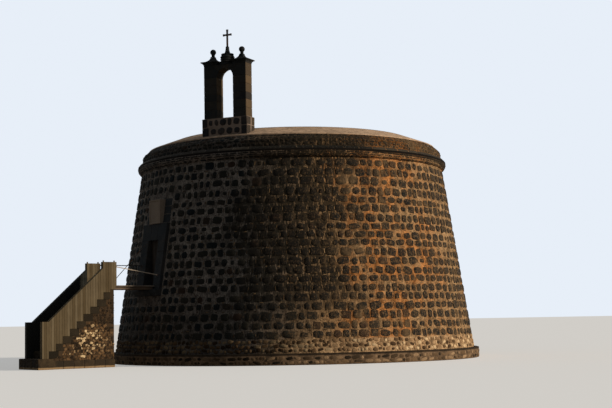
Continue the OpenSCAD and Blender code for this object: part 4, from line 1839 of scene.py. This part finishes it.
@dataclass
class BellGable:
    """The bell gable on the rim: rubble base, ashlar piers, arch, caps, balls and cross."""

    yard: Yard
    turn: float = math.radians(27.0)
    front_r: float = 5.80
    width: float = 1.845
    depth: float = 0.50
    base_out: float = 0.055
    base_top: float = 9.435
    spring: float = 11.035
    pier_joints: tuple[float, ...] = (9.78, 10.11, 10.38, 10.72)
    arch_angles: tuple[float, ...] = (0.0, 42.0, 72.0, 108.0, 138.0, 180.0)
    joint: float = 0.008
    core_in: float = 0.012
    base_low: float = 8.75
    base_low_behind: float = 8.97
    corner_joint: float = 0.01
    corner_gap: float = 0.03
    corner_shade: float = 0.3
    tall_range: tuple[float, float] = (0.75, 1.05)
    rubble: Coursing = Coursing(
        pitch=0.31, joint=0.055, widths=(0.16, 0.34), depth=0.08, proud=(0.022, 0.032),
        tilt=14.0, cut=StoneCut.BOULDER,
    )
    corner: Coursing = Coursing(
        pitch=0.31, joint=0.020, widths=(0.22, 0.30), depth=0.08, proud=(0.010, 0.014),
        tilt=1.5, cut=StoneCut.ASHLAR,
    )

    def local(self, across: float, back: float, up: float) -> Vector:
        """A place given across the gable, back from its front face, and as a level."""
        spin = Matrix.Rotation(self.turn, 3, "Z")
        return spin @ Vector((across, -self.front_r + back, up))

    def way(self, across: float, back: float, up: float = 0.0) -> Vector:
        """A direction given in the gable's own directions."""
        return Matrix.Rotation(self.turn, 3, "Z") @ Vector((across, back, up))

    def build_base(self) -> None:
        """Lays the rubble on the four sides of the base."""
        material = DressedFinish(
            "gable_rubble", dark=(0.018, 0.020, 0.022), light=(0.056, 0.048, 0.042),
            dust=(0.120, 0.085, 0.062), painted_sunlight=(0.200, 0.130, 0.068), painted_sunlight_share=0.75,
        ).make()
        lime = LimeFinish("gable_lime", base=(0.30, 0.225, 0.175), stain=(0.13, 0.095, 0.070))
        dress(["belfry_base"], lime.make())
        rng = random.Random(61)
        pile = Pile()
        out, back = self.width / 2 + self.base_out, self.depth + self.base_out
        front, deep = -self.base_out, back + self.base_out
        sides = (
            (self.local(-out, front, 0), self.way(1, 0), 2 * out, self.base_low),
            (self.local(out, front, 0), self.way(0, 1), deep, self.base_low),
            (self.local(out, back, 0), self.way(-1, 0), 2 * out, self.base_low_behind),
            (self.local(-out, back, 0), self.way(0, -1), deep, self.base_low),
        )
        for origin, across, length, low in sides:
            face = FlatFace(origin, across)
            for level, height in self.rubble.levels(rng, low, self.base_top):
                first, last = (rng.uniform(*self.corner.widths) for _ in range(2))
                for along, width in ((first / 2, first), (length - last / 2, last)):
                    wide, tall = width - self.corner_joint, height - self.corner.joint
                    shape, points = self.yard.shaper.cut(rng, self.corner, wide, tall)
                    shade = rng.random() * self.corner_shade
                    pile.add(shape, face.lay(points, along, level), shade)
                if length < first + last + self.rubble.widths[1]:
                    continue
                start, end = first + self.corner_gap, length - last - self.corner_gap
                for along, width in self.rubble.run(rng, start, end):
                    tall = (height - self.rubble.joint) * rng.uniform(*self.tall_range)
                    shape, points = self.yard.shaper.cut(rng, self.rubble, width, tall)
                    pile.add(shape, face.lay(points, along, level), rng.random() ** 2)
        piece = pile.build("gable_base_stones", material)
        place_on(piece, TOWER)

    def build_piers(self) -> None:
        """Makes the piers of ashlar blocks and the arch of wedge-shaped ones."""
        finishes = (self.yard.gable_stone, self.yard.joint_lime)
        block_work(
            "gable_pier_blocks", ["belfry_pier_left", "belfry_pier_right"],
            finishes, seed=2652, edge=0.012, core_in=self.core_in,
            cuts_of=slabs(Vector((0, 0, 1)), self.pier_joints, self.joint),
        )
        wedges = []
        for low, high in zip(self.arch_angles, self.arch_angles[1:]):
            cuts = []
            for angle, side in ((low, -1.0), (high, 1.0)):
                if angle in (0.0, 180.0):
                    continue
                a = math.radians(angle)
                normal = self.way(-math.sin(a) * side, 0.0, math.cos(a) * side)
                middle = self.local(0.0, self.depth / 2, self.spring)
                cuts.append(Cut(middle - normal * (self.joint / 2), normal))
            wedges.append(cuts)
        block_work(
            "gable_arch_stones", ["belfry_arch"], finishes, seed=63, edge=0.010,
            cuts_of=wedges, core_in=self.core_in,
        )

    def build(self) -> None:
        """Makes the gable."""
        self.build_base()
        self.build_piers()
        dress(["belfry_caps", "ball_finials", "cross_pedestal"], self.yard.gable_stone)
        dress(["cross"], self.yard.iron)


@dataclass
class Stair:
    """The outside stair: rubble sides, dark steps and boarded parapets."""

    yard: Yard
    core_half: float = 0.69
    steps: int = 9
    run: float = 0.279
    rise: float = 0.266
    foot_h: float = 0.39
    first_riser: float = 11.65593
    end: float = 8.97993
    footing_h: float = 0.30
    footing_span: tuple[float, float] = (-11.51, -8.95)
    footing_pitch: float = 0.46
    foot_step_joints: tuple[float, ...] = (-0.27, 0.27)
    block_joint: float = 0.008
    board: float = 0.104
    board_joint: float = 0.005
    # Boards left of this x are painted dark as shade.
    painted_shade_x: float = -0.4
    over_top: float = 0.12
    end_over: float = 0.1
    end_dark: float = 1.6
    edge_gap: float = 0.01
    step_gap: float = 0.02
    tall_range: tuple[float, float] = (0.75, 1.1)
    glow_at: tuple[float, float] = (10.08, 0.98)
    glow_size: tuple[float, float] = (0.82, 0.66)
    glow_range: tuple[float, float] = (-0.25, 1.05)
    dim_level: float = 1.65
    dim_low: float = 0.5
    dim_high: float = 0.25
    rubble: Coursing = Coursing(
        pitch=0.095, joint=-0.012, widths=(0.05, 0.17), depth=0.07, proud=(0.004, 0.026),
        tilt=40.0, cut=StoneCut.CHIP, sway=0.025,
    )

    def roof(self, distance: float) -> float:
        """Finds the level under the steps.

        Args:
            distance: The distance from the tower's axis.

        Returns:
            The level.
        """
        index = math.floor((self.first_riser - distance) / self.run)
        index = min(max(index, -1), self.steps - 1)
        return self.foot_h + index * self.rise

    def build_rubble(self) -> None:
        """Lays the rubble on both sides and on the end towards the tower."""
        material = RubbleFinish(
            "stair_rubble", dark=(0.028, 0.019, 0.012), middle=(0.180, 0.100, 0.045),
            pale=(0.780, 0.560, 0.305),
        ).make()
        lime = LimeFinish("stair_lime", base=(0.075, 0.048, 0.028), stain=(0.028, 0.020, 0.013))
        dress(["stair_masonry"], lime.make())
        rng = random.Random(71)
        pile = Pile()
        top = self.foot_h + (self.steps - 1) * self.rise + self.over_top
        low, gap = self.footing_h + self.edge_gap, self.edge_gap
        for side in (1.0, -1.0):
            face = FlatFace(Vector((side * self.core_half, 0, 0)), Vector((0, side, 0)))
            for level, height in self.rubble.levels(rng, low, top):
                for place, width in self.rubble.run(rng, self.end + gap, self.first_riser):
                    high = level + height / 2
                    if high > self.roof(place + width / 2) + self.step_gap:
                        continue
                    tall = (height - self.rubble.joint) * rng.uniform(*self.tall_range)
                    shape, points = self.yard.shaper.cut(rng, self.rubble, width, tall)
                    sway = rng.uniform(-self.rubble.sway, self.rubble.sway / 2)
                    placed = face.lay(points, -side * place, level + sway)
                    pile.add(shape, placed, self.tone(rng, place, level))
        face = FlatFace(Vector((self.core_half, -self.end, 0)), Vector((-1, 0, 0)))
        for level, height in self.rubble.levels(rng, low, top + self.end_over):
            for place, width in self.rubble.run(rng, gap, 2 * self.core_half - gap):
                tall = (height - self.rubble.joint) * rng.uniform(*self.tall_range)
                shape, points = self.yard.shaper.cut(rng, self.rubble, width, tall)
                pile.add(shape, face.lay(points, place, level), rng.random() ** self.end_dark)
        piece = pile.build("stair_rubble_stones", material)
        place_on(piece, TOWER)

    def tone(self, rng: random.Random, place: float, level: float) -> float:
        """A stone's tone: bright low in the middle under a painted pool of sunlight; dark outside
        it, and darker high near the landing, as painted shade.

        Args:
            rng: The source of chance.
            place: The stone's distance from the tower's axis.
            level: Its level.

        Returns:
            The shade, up to 1.
        """
        away = (place - self.glow_at[0]) / self.glow_size[0]
        above = (level - self.glow_at[1]) / self.glow_size[1]
        # Painted pool of sunlight, low in the middle of the side.
        glow = math.exp(-(away**2) - above**2)
        # Painted shade: darker high up, near the landing.
        dim = self.dim_high if level > self.dim_level else self.dim_low
        return min(1.0, rng.random() ** 2 * dim + glow * rng.uniform(*self.glow_range))

    def build_steps(self) -> None:
        """Makes the steps, the foot step and the footing of dressed stone."""
        step = DressedFinish(
            "step_stone", dark=(0.016, 0.013, 0.009), light=(0.040, 0.030, 0.019),
            dust=(0.095, 0.066, 0.038), painted_sunlight=(0.042, 0.031, 0.019),
        ).make()
        block_work(
            "stair_step_stones", ["stair_steps"], (step, step), seed=72, edge=0.012
        )
        foot = DressedFinish(
            "footing_stone", dark=(0.020, 0.016, 0.012), light=(0.050, 0.037, 0.024),
            dust=(0.220, 0.140, 0.070), painted_sunlight=(0.085, 0.056, 0.030), painted_sunlight_share=0.4,
            splash_z=0.085,
        ).make()
        finishes = (foot, self.yard.joint_lime)
        rows = (
            ("stair_footing_blocks", "stair_footing", Vector((0, 1, 0)),
             even_levels(*self.footing_span, self.footing_pitch), 73),
            ("foot_step_blocks", "foot_step", Vector((1, 0, 0)), self.foot_step_joints, 74),
        )
        for name, node, axis, levels, seed in rows:
            block_work(
                name, [node], finishes, seed=seed, edge=0.014,
                cuts_of=slabs(axis, levels, self.block_joint), core_in=0.014,
            )

    def build_boards(self) -> None:
        """Makes the boarded parapets, newels and landing posts."""
        board = WoodFinish("parapet_board", Grain.UP, painted_shade_x=self.painted_shade_x).make()
        end = WoodFinish("landing_board", Grain.UP).make()
        out = Vector((0, 1, 0))
        for name, nodes, seed, wood in (
            ("parapet_boards_left", ["stair_parapet_left"], 75, board),
            ("parapet_boards_right", ["stair_parapet_right"], 76, board),
            ("newel_boards", ["newel_posts"], 77, board),
            ("landing_boards", ["landing_posts"], 78, end),
        ):
            low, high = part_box(nodes[0])
            cuts = slabs(out, even_levels(low.y, high.y, self.board), self.board_joint)
            block_work(
                name, nodes, (wood, wood), seed=seed, edge=0.004,
                cuts_of=cuts, core_in=0.007,
            )

    def build(self) -> None:
        """Makes the stair."""
        self.build_rubble()
        self.build_steps()
        self.build_boards()


@dataclass(frozen=True)
class GuardRope:
    """One taut guard rope between the landing post and the jamb."""

    side_x: float
    outer: tuple[float, float]
    inner: tuple[float, float]


@dataclass
class Bridge:
    """The timber bridge with its two ropes and its iron stay."""

    yard: Yard
    rope_r: float = 0.018
    lay_length: float = 0.115
    ropes: tuple[GuardRope, ...] = (
        GuardRope(-0.627, (8.8263, 3.85), (7.0249, 3.8566)),
        GuardRope(0.627, (8.8263, 3.74), (7.0863, 3.4566)),
    )
    post_y: float = 8.86953
    strands: int = 3
    strand_sides: int = 7
    strand_out: float = 0.52
    strand_share: float = 0.47
    steps_in_turn: int = 11
    plate_r: float = 0.044
    plate_t: float = 0.008
    plate_insets: tuple[float, float] = (0.006, 0.020)
    shank_out: float = 0.033
    knot_out: float = 0.043
    knot_in: float = 0.0432
    knot_cord_r: float = 0.0085
    knot_rings: tuple[tuple[float, float], ...] = (
        (-0.010, 0.013), (0.004, 0.016), (0.017, 0.012),
    )

    def build_deck(self) -> None:
        """Makes the planks and beams."""
        plank = WoodFinish(
            "deck_plank", Grain.ACROSS, base=(0.220, 0.165, 0.120), grey=(0.33, 0.265, 0.205),
            dark=(0.070, 0.052, 0.038),
        ).make()
        beam = WoodFinish(
            "deck_beam", Grain.OUT, base=(0.170, 0.115, 0.078), grey=(0.26, 0.190, 0.140),
            dark=(0.056, 0.040, 0.028),
        ).make()
        for name, node, wood, edge, seed in (
            ("deck_planks", "bridge_planks", plank, 0.006, 81),
            ("deck_beams", "bridge_beams", beam, 0.010, 82),
        ):
            block_work(name, [node], (wood, wood), seed=seed, edge=edge)

    def _rope(self, rope: GuardRope) -> bpy.types.Object:
        """Models a laid rope by screwing three strands round its line.

        Args:
            rope: The rope's ends, as distances from the axis and levels.

        Returns:
            The rope.
        """
        start = Vector((rope.side_x, -rope.outer[0], rope.outer[1]))
        end = Vector((rope.side_x, -rope.inner[0], rope.inner[1]))
        length = (end - start).length
        strands = []
        for index in range(self.strands):
            turn = 2 * math.pi * index / self.strands
            reach = self.rope_r * self.strand_out
            release()
            bpy.ops.mesh.primitive_circle_add(
                vertices=self.strand_sides,
                radius=self.rope_r * self.strand_share,
                fill_type="NOTHING",
                location=(reach * math.cos(turn), reach * math.sin(turn), 0.0),
            )
            strands.append(bpy.context.active_object)
            settle(strands[-1])
        laid = join("rope", strands)
        turns = length / self.lay_length
        steps = int(turns * self.steps_in_turn)
        finish_with(
            laid, "SCREW", angle=2 * math.pi * turns, screw_offset=length, axis="Z",
            steps=steps, render_steps=steps, use_smooth_shade=True,
        )
        with editing(laid):
            bpy.ops.mesh.normals_make_consistent(inside=False)
        laid.location = start
        laid.rotation_euler = (end - start).to_track_quat("Z", "Y").to_euler()
        settle(laid)
        return laid

    def _fitting(self, centre: Vector, away: Vector) -> list[bpy.types.Object]:
        """Models an end fitting: a round plate, a shank and a knot of three turns.

        Args:
            centre: The middle of the plate's back.
            away: The direction out of the surface.

        Returns:
            The plate with its shank, and the knot.
        """
        turn = away.to_track_quat("Z", "Y").to_euler()
        release()
        bpy.ops.mesh.primitive_cylinder_add(
            vertices=20, radius=self.plate_r, depth=self.plate_t
        )
        plate = bpy.context.active_object
        with editing(plate):
            bpy.ops.transform.translate(value=(0.0, 0.0, self.plate_t / 2))
        with editing(plate, lambda face: face.normal.z > 0.9):
            for inset in self.plate_insets:
                bpy.ops.mesh.inset(thickness=inset)
            lift = {"value": (0, 0, self.shank_out)}
            bpy.ops.mesh.extrude_region_move(TRANSFORM_OT_translate=lift)
        plate.location, plate.rotation_euler = centre, turn
        settle(plate)
        round_edges(plate, 0.002)
        plate.data.materials.append(self.yard.iron)
        knots = []
        for offset, radius in self.knot_rings:
            release()
            bpy.ops.mesh.primitive_torus_add(
                major_radius=radius, minor_radius=self.knot_cord_r, major_segments=16,
                minor_segments=7, location=centre + away * (self.knot_out + offset),
                rotation=turn,
            )
            knots.append(bpy.context.active_object)
            settle(knots[-1])
        return [plate, join("knot", knots)]

    def build_ropes(self) -> None:
        """Makes the two ropes with their fittings."""
        fibre = RopeFinish().make()
        cords, irons = [], []
        out = Vector((0.0, -math.cos(WALL_FACE.lean), math.sin(WALL_FACE.lean)))
        for rope in self.ropes:
            cords.append(self._rope(rope))
            outer = Vector((rope.side_x, -self.post_y, rope.outer[1]))
            knot = Vector((rope.side_x, -rope.inner[0], rope.inner[1]))
            inner = knot - out * self.knot_in
            for centre, away in ((outer, Vector((0, 1, 0))), (inner, out)):
                plate, bend = self._fitting(centre, away)
                irons.append(plate)
                cords.append(bend)
        piece = join("guard_ropes", cords)
        set_tone(piece, 0.5)
        piece.data.materials.clear()
        piece.data.materials.append(fibre)
        smooth(piece, 60.0)
        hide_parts("bridge_ropes")
        place_on(piece, TOWER)
        plates = join("rope_plates", irons)
        place_on(plates, TOWER)

    def build(self) -> None:
        """Makes the bridge."""
        self.build_deck()
        self.build_ropes()
        dress(["bridge_stay"], self.yard.iron)


@dataclass
class Interior:
    """Floors and vault, finished in lime."""

    floor: LimeFinish = LimeFinish("entry_lime", (0.36, 0.30, 0.23), (0.18, 0.15, 0.12))
    wash: LimeFinish = LimeFinish("vault_wash", (0.58, 0.53, 0.45), (0.34, 0.30, 0.24))
    screed: LimeFinish = LimeFinish("terrace_screed", (0.50, 0.39, 0.29), (0.27, 0.21, 0.16))

    def build(self) -> None:
        """Finishes the nodes."""
        dress(["entry_floor"], self.floor.make())
        dress(["vault"], self.wash.make())
        dress(["terrace_floor"], self.screed.make())


@dataclass
class Studio:
    """Pale floor and background, a low warm sun, soft fill and the camera."""

    floor_r: float = 1500.0
    floor_colour: Colour = (0.80, 0.78, 0.75)
    floor_bounce: Colour = (0.20, 0.17, 0.14)
    floor_lift: float = 0.42
    sky_seen: Colour = (0.80, 0.86, 0.94)
    sky_light: Colour = (0.80, 0.90, 1.0)
    sky_strength: float = 0.16
    sun_height: float = 15.0
    sun_strength: float = 3.0
    sun_colour: Colour = (1.0, 0.90, 0.76)
    sun_size: float = 6.0
    camera_at: tuple[float, float, float] = (43.80, -33.00, 1.623)
    camera_turn: float = 53.0 - 0.586
    camera_pitch: float = 5.094
    camera_roll: float = -1.032
    lens: float = 76.49
    sensor: float = 36.0
    far_clip: float = 4000.0

    @staticmethod
    def seen(paint_node: Callable[..., Sock]) -> Sock:
        """Finds where the camera, a reflection or a see-through ray meets the background.

        Args:
            paint_node: The node maker of the material or the world.

        Returns:
            1 for such a ray and 0 for others.
        """
        rays = paint_node("ShaderNodeLightPath", output="Is Camera Ray")
        outputs = rays.socket.node.outputs
        glossy = Sock(rays.paint, outputs["Is Glossy Ray"])
        return rays.at_least(glossy).at_least(Sock(rays.paint, outputs["Is Transmission Ray"]))

    def lay_floor(self) -> None:
        """Makes the pale floor, which keeps the shadow and throws back little light."""
        release()
        bpy.ops.mesh.primitive_circle_add(vertices=96, radius=self.floor_r, fill_type="NGON")
        floor = bpy.context.active_object
        floor.name = "studio_floor"
        paint = Paint("studio_floor")
        colour = paint.mix(self.seen(paint.node), self.floor_bounce, self.floor_colour)
        matt = paint.node("ShaderNodeBsdfDiffuse", inputs={"Color": colour})
        glow = paint.node(
            "ShaderNodeEmission",
            inputs={"Color": rgba(self.floor_colour), "Strength": self.floor_lift},
        )
        clear = paint.node("ShaderNodeEmission", inputs={"Strength": 0.0})
        lift = paint.node(
            "ShaderNodeMixShader", inputs={0: self.seen(paint.node), 1: clear, 2: glow}
        )
        both = paint.node("ShaderNodeAddShader", inputs={0: matt, 1: lift})
        paint.end("ShaderNodeOutputMaterial", both)
        floor.data.materials.append(paint.material)

    def light_world(self) -> None:
        """Makes the soft fill and the pale background."""
        world = bpy.data.worlds.new("studio")
        world.use_nodes = True
        bpy.context.scene.world = world
        paint = Paint("studio", world.node_tree)
        fill = paint.node(
            "ShaderNodeBackground",
            inputs={"Color": rgba(self.sky_light), "Strength": self.sky_strength},
        )
        view = paint.node("ShaderNodeBackground", inputs={"Color": rgba(self.sky_seen)})
        both = paint.node(
            "ShaderNodeMixShader", inputs={0: self.seen(paint.node), 1: fill, 2: view}
        )
        paint.end("ShaderNodeOutputWorld", both)

    def hang_sun(self) -> None:
        """Makes the low warm sun."""
        lamp = bpy.data.lights.new("low_sun", "SUN")
        lamp.energy, lamp.color = self.sun_strength, self.sun_colour
        lamp.angle = math.radians(self.sun_size)
        sun = bpy.data.objects.new("low_sun", lamp)
        bpy.context.scene.collection.objects.link(sun)
        height = math.radians(self.sun_height)
        level = Vector((math.sin(SUN_TURN), -math.cos(SUN_TURN), 0.0))
        towards = level * math.cos(height) + Vector((0.0, 0.0, math.sin(height)))
        sun.rotation_euler = towards.to_track_quat("Z", "Y").to_euler()

    def stand_camera(self) -> None:
        """Stands the camera where the photograph was taken."""
        lens = bpy.data.cameras.new("camera")
        lens.lens, lens.sensor_width = self.lens, self.sensor
        lens.clip_end = self.far_clip
        camera = bpy.data.objects.new("camera", lens)
        bpy.context.scene.collection.objects.link(camera)
        turned = (
            Matrix.Rotation(math.radians(self.camera_turn), 4, "Z")
            @ Matrix.Rotation(math.radians(90 + self.camera_pitch), 4, "X")
            @ Matrix.Rotation(math.radians(self.camera_roll), 4, "Z")
        )
        camera.matrix_world = Matrix.Translation(self.camera_at) @ turned
        bpy.context.scene.camera = camera

    def build(self) -> None:
        """Makes the studio."""
        bpy.context.scene.view_settings.view_transform = "Standard"
        self.stand_camera()
        self.hang_sun()
        self.light_world()
        self.lay_floor()


def main() -> None:
    """Builds the sub-assemblies in order."""
    logging.basicConfig(level=logging.INFO, format="%(message)s")
    yard = Yard(
        shaper=StoneShaper(),
        mortar=MortarFinish().make(),
        cobble=CobbleFinish().make(),
        dressed=DressedFinish("dressed_basalt", painted_sunlight_share=0.1).make(),
        gable_stone=DressedFinish(
            "gable_stone", dark=(0.018, 0.021, 0.023), light=(0.046, 0.041, 0.034),
            dust=(0.080, 0.058, 0.038), painted_sunlight=(0.165, 0.108, 0.058), painted_sunlight_share=0.8,
        ).make(),
        joint_lime=LimeFinish("joint_lime", (0.075, 0.058, 0.044), (0.03, 0.024, 0.019)).make(),
        iron=IronFinish().make(),
    )
    wall = TowerWall(yard)
    for assembly in (
        wall, StringCourse(yard, wall), Parapet(yard, wall), Doorway(yard), BellGable(yard),
        Stair(yard), Bridge(yard), Interior(), Studio(),
    ):
        assembly.build()
        log.info("%s is built", type(assembly).__name__)


if __name__ == "__main__":
    main()
